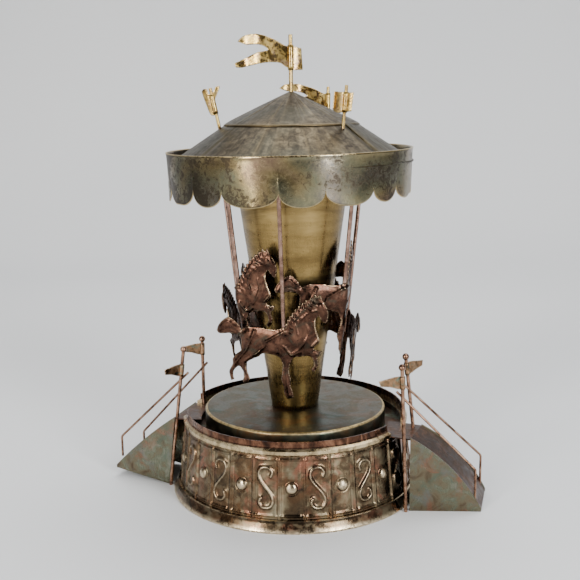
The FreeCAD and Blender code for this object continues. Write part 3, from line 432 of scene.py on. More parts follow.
def new_object(name, vertices, faces):
    mesh = bpy.data.meshes.new(name)
    mesh.from_pydata([tuple(v) for v in vertices], [], [tuple(f) for f in faces])
    mesh.validate()
    mesh.update()
    mesh.shade_smooth()
    piece = bpy.data.objects.new(name, mesh)
    bpy.context.scene.collection.objects.link(piece)
    return piece


def grid_object(name, points, wrap=False, wrap_rows=False):
    """Quad mesh over a (columns, rows, 3) array of points in metres. wrap joins the last column to the first,
    and wrap_rows the last row to the first."""
    columns, rows = points.shape[:2]
    index = np.arange(columns * rows).reshape(columns, rows)
    if wrap:
        index = np.vstack([index, index[:1]])
    if wrap_rows:
        index = np.hstack([index, index[:, :1]])
    corners = [index[:-1, :-1], index[1:, :-1], index[1:, 1:], index[:-1, 1:]]
    faces = np.stack(corners, axis=-1).reshape(-1, 4)
    return new_object(name, points.reshape(-1, 3), faces)


def paint_wear_and_highlight(piece, values):
    """Store a 0 to 1 value for each point that the finish paints bright on raised edges and ridges: partly
    rubbed wear, partly a painted highlight.
    """
    layer = piece.data.attributes.new("wear_and_highlight", "FLOAT", "POINT")
    layer.data.foreach_set("value", np.clip(values, 0, 1).astype(np.float32).ravel())


def thicken(piece, thickness, offset=-1.0):
    """Give a sheet its gauge in millimetres: on its inner side, or on both sides with offset 0."""
    solid = piece.modifiers.new("gauge", "SOLIDIFY")
    solid.thickness = thickness * MM
    solid.offset = offset
    solid.use_even_offset = True


def settle(piece, body, slot, *nodes):
    """Ride on a body, take a slot's finish and stand for CAD nodes."""
    piece.data.materials.append(FINISHES[slot])
    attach(piece, body)
    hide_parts(*nodes)


def around(count):
    """Even angles round a full turn."""
    return np.arange(count) * TURN / count


def turned_points(angles, radii, levels):
    """Points of a turned surface: radii in metres by (angle, row), and levels of that shape or of one row."""
    return np.stack([radii * np.cos(angles)[:, None], radii * np.sin(angles)[:, None],
                     np.broadcast_to(levels, radii.shape)], axis=-1)


def ripple(angles, seed, orders, size):
    """Smooth unevenness round a piece: a few waves with seeded phases."""
    chance = np.random.default_rng(seed)
    total = np.zeros_like(angles)
    for order in orders:
        total += np.sin(order * angles + chance.uniform(0, TURN)) * chance.uniform(0.5, 1.0)
    return total / len(orders) * size


def smooth_line(points, count):
    """Even points along a smooth open line through a few points (Catmull-Rom)."""
    points = np.array(points, float)
    padded = np.vstack([2 * points[0] - points[1], points, 2 * points[-1] - points[-2]])
    line = []
    for a, b, c, d in zip(padded, padded[1:], padded[2:], padded[3:]):
        for step in np.linspace(0, 1, 12, endpoint=False):
            line.append(0.5 * (2 * b + (c - a) * step + (2 * a - 5 * b + 4 * c - d) * step ** 2
                               + (3 * b - a - 3 * c + d) * step ** 3))
    line.append(points[-1])
    line = np.array(line)
    run = np.concatenate([[0], np.cumsum(np.linalg.norm(np.diff(line, axis=0), axis=1))])
    even = np.linspace(0, run[-1], count)
    return np.stack([np.interp(even, run, line[:, axis]) for axis in range(line.shape[1])], axis=-1)


def bead(distance, width, height):
    """Rounded ridge profile over the distance from its middle line."""
    return height * np.exp(-(distance / (width * 0.5)) ** 2 * 1.4)


def distance_to_line(x, y, line):
    """Distance of each (x, y) to a polyline, by its nearest point."""
    gaps = (x[..., None] - line[:, 0]) ** 2 + (y[..., None] - line[:, 1]) ** 2
    return np.sqrt(gaps.min(axis=-1))


# ---- drum ----

PANELS = 30
FIRST_PANEL = FRONT - math.radians(2.3)
DRUM_TAPER = 3.0
DRUM_GAUGE = 0.5
HIGHEST_RELIEF = 1.9
PANEL_FRAME_HALF = 13.4
SCROLL = [(2.6, 5.4), (3.1, 7.6), (1.2, 9.6), (-2.0, 9.3), (-3.5, 6.6), (-2.6, 3.4), (0.0, 0.0)]


def scroll_line():
    """The panel's S scroll: half of it, and the same half turned about the panel's middle."""
    half = np.array(SCROLL)
    return smooth_line(np.vstack([half, -half[-2::-1]]), 90)


def panel_relief(arc, rise, kind, span):
    """Height in millimetres of one panel's relief at (arc, rise) from its middle; span is its half width."""
    rib = bead(np.abs(np.abs(arc) - span), 1.15, 0.62)
    groove = -bead(np.abs(np.abs(arc) - (span - 1.5)), 1.2, 0.25)
    bars = bead(np.abs(np.abs(rise) - PANEL_FRAME_HALF), 1.1, 0.45)
    relief = np.maximum(rib, bars) + groove * (np.abs(rise) < PANEL_FRAME_HALF)
    if kind == "dome":
        dome_height, dome_radius, moat_radius = 1.5, 2.9, 3.4
        radius = np.hypot(arc, rise)
        dome = dome_height * np.sqrt(np.clip(1 - (radius / dome_radius) ** 2, 0, 1))
        return relief + dome - bead(np.abs(radius - moat_radius), 1.0, 0.15)
    line = scroll_line()
    if kind == "mirrored":
        line = line * np.array([-1, 1])
    ridge = bead(distance_to_line(arc, rise, line), 1.9, 1.0)
    ends = sum(bead(np.hypot(arc - x, rise - y), 2.6, 0.5) for x, y in (line[0], line[-1]))
    return relief + np.maximum(ridge, ends)


def make_drum_wall():
    """Conical band of embossed panels: domes between scrolls, which change hand every second scroll."""
    foot, head = low("drum_wall").z, high("drum_wall").z
    foot_radius = high("drum_wall").x
    head_radius = foot_radius - DRUM_TAPER * MM
    columns, rows = 46, 100
    levels = np.linspace(foot, head, rows)
    base = foot_radius + (head_radius - foot_radius) * (levels - foot) / (head - foot)
    middle = (foot + head) / 2
    span = math.pi / PANELS * (foot_radius + head_radius) / 2 / MM
    share = np.linspace(-1, 1, columns, endpoint=False)
    arc, rise = np.meshgrid(share * span, (levels - middle) / MM, indexing="ij")
    reliefs = {kind: panel_relief(arc, rise, kind, span) for kind in ("dome", "scroll", "mirrored")}
    radii, wear_and_highlight, angles = [], [], []
    for index in range(PANELS):
        signed = index if index < PANELS // 2 else index - PANELS
        pair = (signed + 1) // 4
        kind = "dome" if index % 2 == 0 else ("mirrored" if pair % 2 else "scroll")
        relief = reliefs[kind]
        radii.append(base + relief * MM)
        # The raised relief is painted bright in proportion to its height: partly wear, partly a painted
        # highlight on ribs, scrolls and domes.
        wear_and_highlight.append(relief / HIGHEST_RELIEF)
        angles.append(FIRST_PANEL + (index + share * 0.5) * TURN / PANELS)
    angles = np.concatenate(angles)
    set_in = 0.45 * MM
    radii = np.concatenate(radii) - set_in + ripple(angles, 3, (2, 3, 7, 11), 0.25 * MM)[:, None]
    wall = grid_object("embossed_drum_wall", turned_points(angles, radii, levels), wrap=True)
    paint_wear_and_highlight(wall, np.concatenate(wear_and_highlight))
    thicken(wall, DRUM_GAUGE)
    settle(wall, "base", "drum_brass", "drum_wall")


LATHE_COLUMNS = 180


def lathe(name, profile):
    """Turned piece from a closed (radius, level) profile in metres."""
    profile = np.array(profile)
    radii = np.broadcast_to(profile[:, 0], (LATHE_COLUMNS, len(profile)))
    points = turned_points(around(LATHE_COLUMNS), radii, profile[:, 1])
    return grid_object(name, points, wrap=True, wrap_rows=True)


def paint_rows(piece, profile, shares):
    """Paint whole rows of a lathed profile bright, as wear and painted highlight: shares holds (first row,
    row after the last, value).
    """
    values = np.zeros((LATHE_COLUMNS, len(profile)))
    for first, after, value in shares:
        values[:, first:after] = value
    paint_wear_and_highlight(piece, values)


def arc_profile(centre, radius, start, end, steps):
    """Arc of (radius, level) points; the angles are in degrees from straight outwards."""
    angles = np.radians(np.linspace(start, end, steps))
    return [(centre[0] + radius * math.cos(a), centre[1] + radius * math.sin(a)) for a in angles]


def make_foot():
    """Rolled foot flange: a rounded edge, a shoulder up to the wall and a hollow underneath."""
    radius, top = high("foot_ring").x, high("foot_ring").z
    inner = radius - 5.0 * MM
    shoulder = radius - 2.2 * MM
    profile = [(inner, 0.0), (radius - 0.9 * MM, 0.0)]
    profile += arc_profile((radius - 0.8 * MM, 0.8 * MM), 0.8 * MM, -80, 20, 6)
    profile += [(shoulder + 0.7 * MM, top - 1.6 * MM), (shoulder + 0.1 * MM, top - 0.4 * MM),
                (shoulder - 0.8 * MM, top), (inner, top), (inner, top - 0.6 * MM),
                (shoulder - 1.0 * MM, top - 0.7 * MM), (radius - 1.9 * MM, 0.7 * MM), (inner, 0.6 * MM)]
    foot = lathe("foot_rim", profile)
    # Rows of the rounded edge and the shoulder are painted bright: partly wear, partly a painted highlight.
    paint_rows(foot, profile, [(2, 8, 0.7), (10, 11, 0.8)])
    settle(foot, "base", "drum_brass", "foot_ring")


# ---- canopy ----

# Widths of the skirt's uneven scallops, in degrees round from the first notch.
SCALLOPS = [25.0, 16.5, 26.0, 20.0, 24.0, 16.5, 22.0, 20.0, 24.0,
            19.0, 21.0, 23.0, 18.0, 22.0, 20.0, 23.0, 20.0]
FIRST_NOTCH = -162.4
SCALLOP_STEPS = 24
NOTCH_DEPTH = 15.7
SKIRT_LEAN = 1.1
SKIRT_GAUGE = 0.45
# The skirt was soldered on a little off centre and out of level.
SKIRT_SHIFT = -1.2 * MM
SKIRT_TILT = 0.012


def skirt_edge():
    """Azimuths and hem depths (0 at a notch, 1 at a scallop's lowest point) round the skirt."""
    angles, depths = [], []
    azimuth = FIRST_NOTCH
    for width in SCALLOPS:
        for step in range(SCALLOP_STEPS):
            share = (1 - math.cos(math.pi * step / SCALLOP_STEPS)) / 2
            angles.append(math.radians(azimuth + width * share))
            depths.append(math.sqrt(max(0.0, 1 - (2 * share - 1) ** 2)) ** 0.85)
        azimuth += width
    return np.array(angles), np.array(depths)


def make_skirt():
    """Scalloped band under the eave, dented and leaning in a little towards its hem."""
    rim, hem = high("canopy_skirt").z, low("canopy_skirt").z
    radius = high("canopy_skirt").x
    root = rim - NOTCH_DEPTH * MM
    angles, depths = skirt_edge()
    depths = depths * (1 + ripple(angles, 5, (1, 3, 4), 0.10))
    share = np.linspace(0, 1, 26)
    bottom = root - (root - hem) * np.clip(depths, 0, 1)
    levels = rim + (bottom[:, None] - rim) * share
    lean = SKIRT_LEAN * MM * (rim - levels) / (rim - hem)
    broad = np.sin(angles * 9 + 1.0)[:, None] * np.sin(share * 5.0)
    narrow = np.sin(angles * 23)[:, None] * share ** 2
    dents = (broad + narrow) * 0.16
    rolled = 0.25 * np.exp(-((rim - levels) / MM / 0.8) ** 2)
    set_in = 0.35 * MM
    uneven = ripple(angles, 21, (2, 3, 5, 8), 0.3 * MM)[:, None]
    radii = radius - lean - set_in + (dents + rolled) * MM + uneven
    points = turned_points(angles, radii, levels)
    points[..., 0] += SKIRT_SHIFT
    points[..., 2] = levels + points[..., 0] * SKIRT_TILT
    skirt = grid_object("scalloped_skirt", points, wrap=True)
    # The hem and the rolled top edge are painted bright: partly wear, partly a painted highlight.
    hem_edge = np.exp(-((levels - bottom[:, None]) / MM / 0.35) ** 2)
    rim_edge = np.exp(-((rim - levels) / MM / 0.4) ** 2)
    paint_wear_and_highlight(skirt, hem_edge + rim_edge)
    thicken(skirt, SKIRT_GAUGE)
    settle(skirt, "carousel", "skirt_brass", "canopy_skirt")


# Each roof sheet's CAD node: name, radius of its hole and rows of its mesh.
ROOF_SHEETS = {
    "roof_cone": ("roof_skirt_cone", 31.6, 44),
    "roof_cap": ("roof_crown_cone", 1.0, 40),
}
ROOF_GAUGE = 0.5
ROOF_SEAM = math.radians(-40.0)


def beaten_marks(angles):
    """Seeded marks round the roof sheets: broad creases, and narrow puckers for the eave."""
    chance = np.random.default_rng(8)
    creases, puckers = np.zeros_like(angles), np.zeros_like(angles)
    for _ in range(60):
        where, width = chance.uniform(0, TURN), chance.uniform(0.012, 0.05)
        gap = np.angle(np.exp(1j * (angles - where)))
        creases += chance.uniform(-1, 1) * np.exp(-(gap / width) ** 2)
    for _ in range(110):
        gap = np.angle(np.exp(1j * (angles - chance.uniform(0, TURN))))
        puckers += chance.uniform(-1, 1) * np.exp(-(gap / chance.uniform(0.008, 0.02)) ** 2)
    return creases, puckers


def make_roof():
    """Two overlapping shallow cones of hand-beaten sheet, streaked and creased from the crown outwards."""
    angles = around(900)
    creases, puckers = beaten_marks(angles)
    past = (angles - ROOF_SEAM) % TURN
    step = np.where(past < 0.6, 0.7 * np.exp(-(past / 0.25) ** 2), 0.0)
    for node, (name, hole, rows) in ROOF_SHEETS.items():
        outer, inner = high(node).x, hole * MM
        top, foot = high(node).z, low(node).z + 0.6 * MM
        share = np.linspace(0, 1, rows)
        radii = inner + (outer - inner) * share
        fall = top + (foot - top) * share
        lift = creases[:, None] * np.sin(share * math.pi * 0.9 + 0.2) * 0.22
        if node == "roof_cone":
            lift = lift + (step[:, None] + puckers[:, None] * share ** 3 * 0.3)
        belly = ripple(angles, 31, (2, 3, 4), 0.5)[:, None] * share * (1 - share)
        levels = fall + (lift + belly) * MM - 0.15 * MM
        # Crease ridges are painted bright: partly wear, partly a painted highlight.
        ridges = np.clip(np.abs(creases), 0, 1)[:, None] * np.sin(share * math.pi)
        wear_and_highlight = ridges * 0.5
        if node == "roof_cap":
            levels = levels - 0.45 * MM * share ** 16
            # Painted highlight line along the cap's lip, where it meets the cone.
            wear_and_highlight = wear_and_highlight + np.where(share > 0.97, 0.8, 0.0)
        radii = np.broadcast_to(radii, levels.shape)
        roof = grid_object(name, turned_points(angles, radii, levels), wrap=True)
        paint_wear_and_highlight(roof, wear_and_highlight)
        thicken(roof, ROOF_GAUGE)
        settle(roof, "carousel", "roof_bronze", node)


COLUMN_FOOT_RADIUS = 12.0
COLUMN_GAUGE = 0.6


def make_column():
    """Thin cone that widens from the disc to the roof, slightly out of round halfway up."""
    foot, head = low("center_column").z, high("center_column").z
    head_radius, foot_radius = high("center_column").x, COLUMN_FOOT_RADIUS * MM
    share = np.linspace(0, 1, 60)
    angles = around(144)
    radii = foot_radius + (head_radius - foot_radius) * share
    radii = radii[None, :] + ripple(angles, 17, (2, 3), 0.18 * MM)[:, None] * np.sin(share * math.pi)
    points = turned_points(angles, radii, foot + (head - foot) * share)
    column = grid_object("tapered_column", points, wrap=True)
    thicken(column, COLUMN_GAUGE)
    settle(column, "carousel", "column_brass", "center_column")


def make_disc():
    """Flat disc with a rounded edge that turns down into a hem."""
    radius, top, hem = high("turntable_disc").x, high("turntable_disc").z, low("turntable_disc").z
    edge = 1.5 * MM
    profile = [(0.2 * MM, top), (12.0 * MM, top), (30.0 * MM, top - 0.1 * MM), (radius - 6 * MM, top)]
    profile += arc_profile((radius - edge, top - edge), edge, 90, 0, 7)
    profile += [(radius, hem + 4 * MM), (radius, hem + 0.3 * MM), (radius - 0.1 * MM, hem)]
    profile += [(radius - 0.7 * MM, hem), (radius - 0.7 * MM, top - 1.4 * MM),
                (radius - 2.0 * MM, top - 0.7 * MM), (0.2 * MM, top - 0.7 * MM)]
    disc = lathe("turntable_plate", profile)
    # The rounded top edge and the hem's foot are painted bright: a painted highlight line, with some wear.
    paint_rows(disc, profile, [(5, 9, 0.75), (12, 14, 0.6)])
    settle(disc, "carousel", "disc_bronze", "turntable_disc")


# ---- cut sheets ----

def bent_strokes(strokes, spacing):
    """Closed outline in even steps: each stroke is smooth through its points, and strokes meet at corners."""
    line = []
    for stroke, after in zip(strokes, strokes[1:] + strokes[:1]):
        points = np.array(stroke + after[:1], float)
        run = np.linalg.norm(np.diff(points, axis=0), axis=1).sum()
        count = max(2, int(run / spacing) + 1)
        even = smooth_line(points, count) if len(points) > 2 else np.linspace(points[0], points[1], count)
        line.append(even[:-1])
    return np.vstack(line)


def inside(points, outline):
    """Which points lie inside a closed outline."""
    x, y = points[:, 0][:, None], points[:, 1][:, None]
    ax, ay = outline[:, 0], outline[:, 1]
    bx, by = np.roll(ax, -1), np.roll(ay, -1)
    crosses = (ay > y) != (by > y)
    reach = (bx - ax) * (y - ay) / np.where(by == ay, 1e-9, by - ay) + ax
    return ((x < reach) & crosses).sum(axis=1) % 2 == 1


def fill_outline(strokes, spacing):
    """Flat triangles over an outline: points (x, y), faces, and each point's distance in from the edge."""
    outline = bent_strokes(strokes, spacing)
    low_corner, high_corner = outline.min(axis=0), outline.max(axis=0)
    steps = [np.arange(a, b, spacing) for a, b in zip(low_corner, high_corner)]
    field = np.stack(np.meshgrid(*steps, indexing="ij"), axis=-1)
    field[:, ::2, 0] += spacing / 2
    field = field.reshape(-1, 2)
    field = field[inside(field, outline)]
    field = field[edge_distance(field, outline) > spacing * 0.55]
    points = np.vstack([outline, field])
    loop = [(i, (i + 1) % len(outline)) for i in range(len(outline))]
    made = geometry.delaunay_2d_cdt([Vector(point) for point in points], loop, [], 1, 1e-6)
    points = np.array([tuple(point) for point in made[0]])
    return points, np.array(made[2]), edge_distance(points, outline)


def edge_distance(points, outline):
    """Distance of each point to the nearest side of a closed outline."""
    after = np.roll(outline, -1, axis=0)
    run = after - outline
    offset = points[:, None, :] - outline[None]
    share = np.clip((offset * run).sum(-1) / np.maximum((run ** 2).sum(-1), 1e-12), 0, 1)
    return np.linalg.norm(offset - share[..., None] * run, axis=-1).min(axis=1)


def tube(radius, foot, head, columns=20):
    """Open sleeve round the Z axis, in millimetres: points, faces and no painted highlight or wear."""
    angles = around(columns)
    rings = [np.stack([radius * np.cos(angles), radius * np.sin(angles), np.full(columns, level)], axis=-1)
             for level in np.linspace(foot, head, 7)]
    points = np.vstack(rings)
    faces = []
    for row in range(len(rings) - 1):
        for column in range(columns):
            after = (column + 1) % columns
            a, b = row * columns, (row + 1) * columns
            faces += [(a + column, a + after, b + after), (a + column, b + after, b + column)]
    return points, np.array(faces), np.zeros(len(points))


def joined(name, parts):
    """One object from (points in millimetres, faces, painted highlight and wear) parts."""
    points, faces, wear_and_highlight, offset = [], [], [], 0
    for part_points, part_faces, part_wear_and_highlight in parts:
        points.append(part_points)
        faces.append(part_faces + offset)
        wear_and_highlight.append(part_wear_and_highlight)
        offset += len(part_points)
    piece = new_object(name, np.vstack(points) * MM, np.vstack(faces).tolist())
    paint_wear_and_highlight(piece, np.concatenate(wear_and_highlight))
    return piece


def placed(part, place):
    """A part's points moved by a 4 x 4 matrix in millimetres."""
    points, faces, wear_and_highlight = part
    matrix = np.array(place)
    return points @ matrix[:3, :3].T + matrix[:3, 3], faces, wear_and_highlight


# ---- horses ----

def mane_strokes():
    """Saw-edged mane from the withers to the poll, on a gentle curve."""
    start, bend, end = np.array([1.2, 0.6]), np.array([5.0, 10.6]), np.array([15.1, 16.1])
    teeth = 9
    strokes = []
    for index in range(teeth * 2 + 1):
        share = index / (teeth * 2)
        point = start * (1 - share) ** 2 + bend * (2 * share * (1 - share)) + end * share ** 2
        if index % 2:
            point = point + (-0.75, 0.55)
        strokes.append([tuple(point)])
    return strokes


# Outline of the stamped horse: x forwards from the rod, y up from the saddle, in millimetres.
HORSE = mane_strokes() + [
    [(15.8, 17.9)], [(16.7, 16.2)], [(18.3, 17.7)],
    [(19.3, 14.8), (21.2, 11.6), (22.1, 7.6)], [(21.3, 3.6), (20.2, 2.9), (18.8, 4.2)],
    [(17.4, 6.7)], [(15.9, 5.2), (15.9, 1.0), (17.0, -3.2), (17.5, -6.4), (14.6, -10.0)],
    [(18.7, -11.2)], [(17.8, -13.4), (16.4, -14.8), (16.7, -17.8), (15.8, -20.4)],
    [(14.0, -22.5)], [(12.9, -20.9)], [(14.4, -18.6), (13.9, -15.6), (12.0, -13.9)],
    [(7.4, -14.4), (4.6, -15.0), (2.8, -18.6), (2.2, -22.6), (2.9, -26.3), (2.6, -29.4), (3.6, -32.8)],
    [(4.0, -36.2)], [(0.8, -36.9)], [(-0.5, -34.0), (-0.7, -30.2), (-1.7, -26.6), (-1.2, -23.6)],
    [(-0.6, -18.8), (-2.4, -15.0), (-6.9, -13.9), (-10.8, -13.9)],
    [(-13.0, -15.6), (-16.8, -17.5), (-19.6, -19.6), (-20.0, -22.4), (-19.2, -25.4)],
    [(-18.2, -28.3)], [(-19.4, -30.0)], [(-22.0, -30.8)], [(-22.4, -29.2)],
    [(-21.2, -26.8), (-22.0, -24.2), (-23.7, -21.9)],
    [(-25.3, -22.6), (-26.9, -24.6), (-27.3, -27.0)], [(-26.9, -29.3)], [(-28.6, -30.0)],
    [(-29.2, -27.6), (-29.3, -24.9), (-27.4, -21.2)], [(-27.2, -18.2), (-25.0, -15.4), (-22.4, -13.2)],
    [(-22.0, -9.6), (-22.8, -5.8)], [(-27.5, -4.7), (-33.4, -5.4)],
    [(-35.0, -4.0), (-33.9, -1.2), (-31.2, 1.9), (-27.7, 3.7), (-24.0, 1.2)],
    [(-21.6, -2.0), (-18.2, -0.5), (-12.5, -0.2), (-5.5, -0.9)]]

# Raised lines of the stamping: points, width and height.
HORSE_RIDGES = [
    ([(1.2, -1.0), (-3.0, -3.6), (-7.8, -6.6)], 1.2, 0.55),
    ([(12.6, 8.6), (8.6, 5.0), (6.6, 1.2), (7.2, -2.6)], 1.1, 0.50),
    ([(14.2, 13.0), (10.8, 11.4), (8.0, 8.0), (5.0, 3.6)], 0.9, 0.35),
    ([(11.4, 10.2), (13.8, 9.2), (16.6, 9.9)], 1.0, 0.50),
    ([(15.2, 3.8), (15.9, -1.8), (16.8, -5.0), (13.8, -8.6)], 1.5, 0.75),
    ([(11.6, 2.4), (12.4, -2.0), (10.4, -6.2), (7.8, -9.6), (3.6, -13.0)], 1.2, 0.55),
    ([(0.6, -8.8), (2.2, -11.6), (4.4, -13.4), (7.0, -11.8)], 1.3, 0.60),
    ([(-8.6, -6.8), (-9.4, -9.6), (-11.6, -11.6), (-14.4, -14.6)], 1.2, 0.55),
    ([(-14.4, -2.2), (-16.4, -7.0), (-19.0, -12.0), (-22.8, -16.6), (-26.2, -20.8)], 1.4, 0.60),
    ([(-12.4, -12.6), (-16.6, -15.6), (-20.8, -19.4), (-21.0, -24.6), (-20.6, -29.4)], 1.2, 0.50),
    ([(1.4, -16.2), (0.8, -22.4), (1.2, -28.6), (2.0, -35.4)], 1.0, 0.50),
    ([(-24.8, -1.2), (-28.4, 1.4), (-31.8, -1.0), (-33.2, -3.8)], 1.0, 0.55),
    ([(-24.0, -3.4), (-28.0, -2.4), (-32.2, -3.9)], 0.8, -0.35),
    ([(19.4, 13.0), (20.6, 9.4), (20.4, 5.4)], 1.1, 0.45),
    ([(14.8, -11.6), (16.2, -13.2), (15.2, -16.2), (15.0, -19.6)], 1.0, 0.45)]

# Swellings of the stamping: middle, radius and height.
HORSE_SWELLS = [
    ((-16.2, -6.6), 5.4, 1.0), ((8.6, -5.6), 4.6, 0.9), ((-3.4, -8.0), 5.6, 0.5), ((18.2, 11.0), 2.6, 0.6),
    ((-21.6, -13.6), 2.8, 0.5), ((9.4, 8.0), 4.0, 0.5), ((17.6, 12.2), 0.8, 0.35), ((20.4, 4.6), 1.2, 0.3)]
HORSE_SPACING = 0.42
HORSE_GAUGE = 0.5


def horse_part():
    """The stamping in its own plane: relief towards +Y, from the sheet's inner face."""
    flat, faces, depth = fill_outline(HORSE, HORSE_SPACING)
    x, z = flat[:, 0], flat[:, 1]
    relief = 0.95 * (1 - np.exp(-depth / 1.7))
    share = np.clip(depth / 2.5, 0, 1)
    for middle, radius, height in HORSE_SWELLS:
        relief += height * np.exp(-((x - middle[0]) ** 2 + (z - middle[1]) ** 2) / radius ** 2) * share
    lines = np.zeros_like(relief)
    for points, width, height in HORSE_RIDGES:
        lines += bead(distance_to_line(x, z, smooth_line(points, 60)), width, height)
    crest = smooth_line([(1.2, 0.6), (5.6, 8.6), (15.1, 16.1)], 60)
    strand = distance_to_line(x, z, crest)
    along = x * 0.83 + z * 0.55
    mane = 0.24 * np.sin(along * 2.6 + np.sin(strand * 1.1) * 1.6) * np.exp(-(strand / 4.0) ** 2)
    rim = bead(depth - 0.25, 0.7, 0.28)
    relief = relief + (lines + mane) * np.clip(depth / 0.8, 0, 1) + rim
    # The edge rim, ridge lines and mane strands are painted bright: partly wear, partly a painted highlight.
    wear_and_highlight = rim * 2.5 + np.clip(lines, 0, 1) * 0.6 + np.clip(mane, 0, 1)
    points = np.stack([-x, relief, z], axis=-1)
    return points, faces, wear_and_highlight


# Each horse: azimuth of its rod, height above the low ones in rises, and the angles by which its front and
# rear halves are turned about the rod, in degrees.
HORSES = {
    "front": (-100.0, 0, 2.0, -10.0),
    "front_right": (-40.0, 1, 34.0, -38.0),
    "back_right": (20.0, 0, 24.0, -16.0),
    "back": (80.0, 1, 20.0, -39.0),
    "back_left": (160.0, 0, 6.0, -16.0),
    "front_left": (213.0, 1, 34.0, -38.0),
}
ROD_LEAN = math.radians(6.7)
ROD_HEAD_RADIUS = 40.4
ROD_HEAD_LEVEL = 180.4
ROD_RADIUS = 1.0
BEND_WIDTH = 2.4
LOW_SADDLE = 91.0
RISE = 20.0


def horse_place(azimuth, rises):
    """Where a horse's own plane stands: origin at the saddle on its leaning rod, X backwards, Y outwards."""
    angle = math.radians(azimuth)
    outward = Vector((math.cos(angle), math.sin(angle), 0))
    up = outward * math.sin(ROD_LEAN) + Vector((0, 0, math.cos(ROD_LEAN)))
    head = outward * ROD_HEAD_RADIUS + Vector((0, 0, ROD_HEAD_LEVEL))
    saddle = head - up * ((head.z - LOW_SADDLE - rises * RISE) / up.z)
    forward = Vector((0, 0, 1)).cross(outward)
    across = up.cross(-forward)
    axes = Matrix((-forward, across, up)).transposed().to_4x4()
    return Matrix.Translation(saddle) @ axes


def bent(part, front_turn, rear_turn):
    """A stamping set outside its rod, its halves turned about the rod with a rounded bend between."""
    points, faces, wear_and_highlight = part
    share = np.clip(points[:, 0] / BEND_WIDTH + 0.5, 0, 1)
    turn = np.radians(front_turn + (rear_turn - front_turn) * share * share * (3 - 2 * share))
    across = points[:, 1] + ROD_RADIUS + 0.1
    x = points[:, 0] * np.cos(turn) - across * np.sin(turn)
    y = points[:, 0] * np.sin(turn) + across * np.cos(turn)
    return np.stack([x, y, points[:, 2]], axis=-1), faces, wear_and_highlight


def make_horses():
    """Six copies of one stamping, each bent at its rod to follow the ring."""
    stamping = horse_part()
    for name, (azimuth, rises, front_turn, rear_turn) in HORSES.items():
        shaped = bent(stamping, front_turn, rear_turn)
        horse = joined("stamped_horse_" + name, [placed(shaped, horse_place(azimuth, rises))])
        thicken(horse, HORSE_GAUGE)
        settle(horse, "carousel", "horse_copper", "horse_" + name)


# ---- flags ----

# Outlines of the cut sheets: x away from the pole, y up, in millimetres.
PENNANT = [
    [(0, 3.2), (3.5, 2.9), (7.5, 2.0)], [(11.5, 1.2)],
    [(10.6, -1.4), (6.0, -2.0), (2.5, -3.0)], [(0, -3.3)]]
BANNER = [
    [(0, 5.0), (2.8, 5.6), (7.2, 8.2), (13.6, 10.6), (18.3, 11.2), (23.1, 10.2)], [(25.9, 7.8)],
    [(21.5, 6.2), (16.0, 6.2), (12.4, 5.0), (11.2, 3.4)],
    [(16.0, 2.6), (23.1, -0.6)], [(27.6, -2.5), (27.0, -4.4)],
    [(24.0, -4.7), (18.7, -3.5), (12.0, -2.4), (5.6, -2.6), (2.4, -4.6)], [(0, -5.2)]]
TAB = [[(0, 5.4)], [(5.6, 4.2)], [(6.3, -6.0)], [(0, -6.2)]]
ROLL = [
    [(-3.6, 4.6), (0.0, 4.4), (3.6, 4.6)], [(8.0, 4.9)],
    [(8.4, -2.8), (4.0, -4.9), (0.0, -4.6)], [(-3.2, -3.9)]]
FOLDED = [
    [(-4.6, 5.0), (-3.8, 0.0), (-2.6, -4.8)], [(0.4, -5.2)], [(1.2, -1.6), (0.8, 1.2)],
    [(2.6, 4.0), (4.8, 7.4)], [(2.8, 7.8), (1.0, 5.4)], [(-1.4, 5.2)], [(-1.6, 7.6)],
    [(-3.4, 8.0)], [(-4.8, 7.0)]]
LEAF_GAUGE = 0.35
LEAF_SPACING = 0.5
SLEEVE_RADIUS = {"top": 1.3, "small": 1.1, "pennant": 1.15}
TOP_FLAG_DROP = 2.7
ROOF_POLE_FOOT = 184.7
ROOF_POLE_RADIUS = 35.7
SMALL_FLAG_ALONG = 13.0


def scaled(strokes, across, up):
    """An outline stretched across and up."""
    return [[(x * across, z * up) for x, z in stroke] for stroke in strokes]


def leaf(strokes, curl, wave, side=1.0):
    """Hand-cut sheet that leaves a pole at x = 0: curl in degrees per millimetre, wave in millimetres."""
    flat, faces, depth = fill_outline(strokes, LEAF_SPACING)
    run, level = flat[:, 0], flat[:, 1]
    turn = math.radians(curl) + 1e-6
    x = np.sin(turn * run) / turn
    y = (1 - np.cos(turn * run)) / turn + wave * np.sin(run * 0.35) * run / 20.0
    dents = 0.16 * np.sin(level * 4.2 + run * 3.1) * np.exp(-depth / 0.9)
    points = np.stack([x * side, y + dents, level], axis=-1)
    # Cut edges are painted bright: partly wear, partly a painted highlight.
    wear_and_highlight = np.exp(-depth / 0.45) * 0.9
    return points, faces if side > 0 else faces[:, ::-1], wear_and_highlight


def pole_place(foot, up, heading, along):
    """Place at a distance along a pole, turned so that its leaf heads to an azimuth in degrees."""
    tilt = Vector((0, 0, 1)).rotation_difference(up).to_matrix().to_4x4()
    return Matrix.Translation(foot + up * along) @ tilt @ Matrix.Rotation(math.radians(heading), 4, "Z")


def make_flag(name, node, place, leaves, sleeve):
    """One flag: its leaves and the sleeve that wraps its pole."""
    flag = joined(name, [placed(part, place) for part in leaves + [sleeve]])
    thicken(flag, LEAF_GAUGE, offset=0.0)
    settle(flag, "carousel", "flag_brass", node)


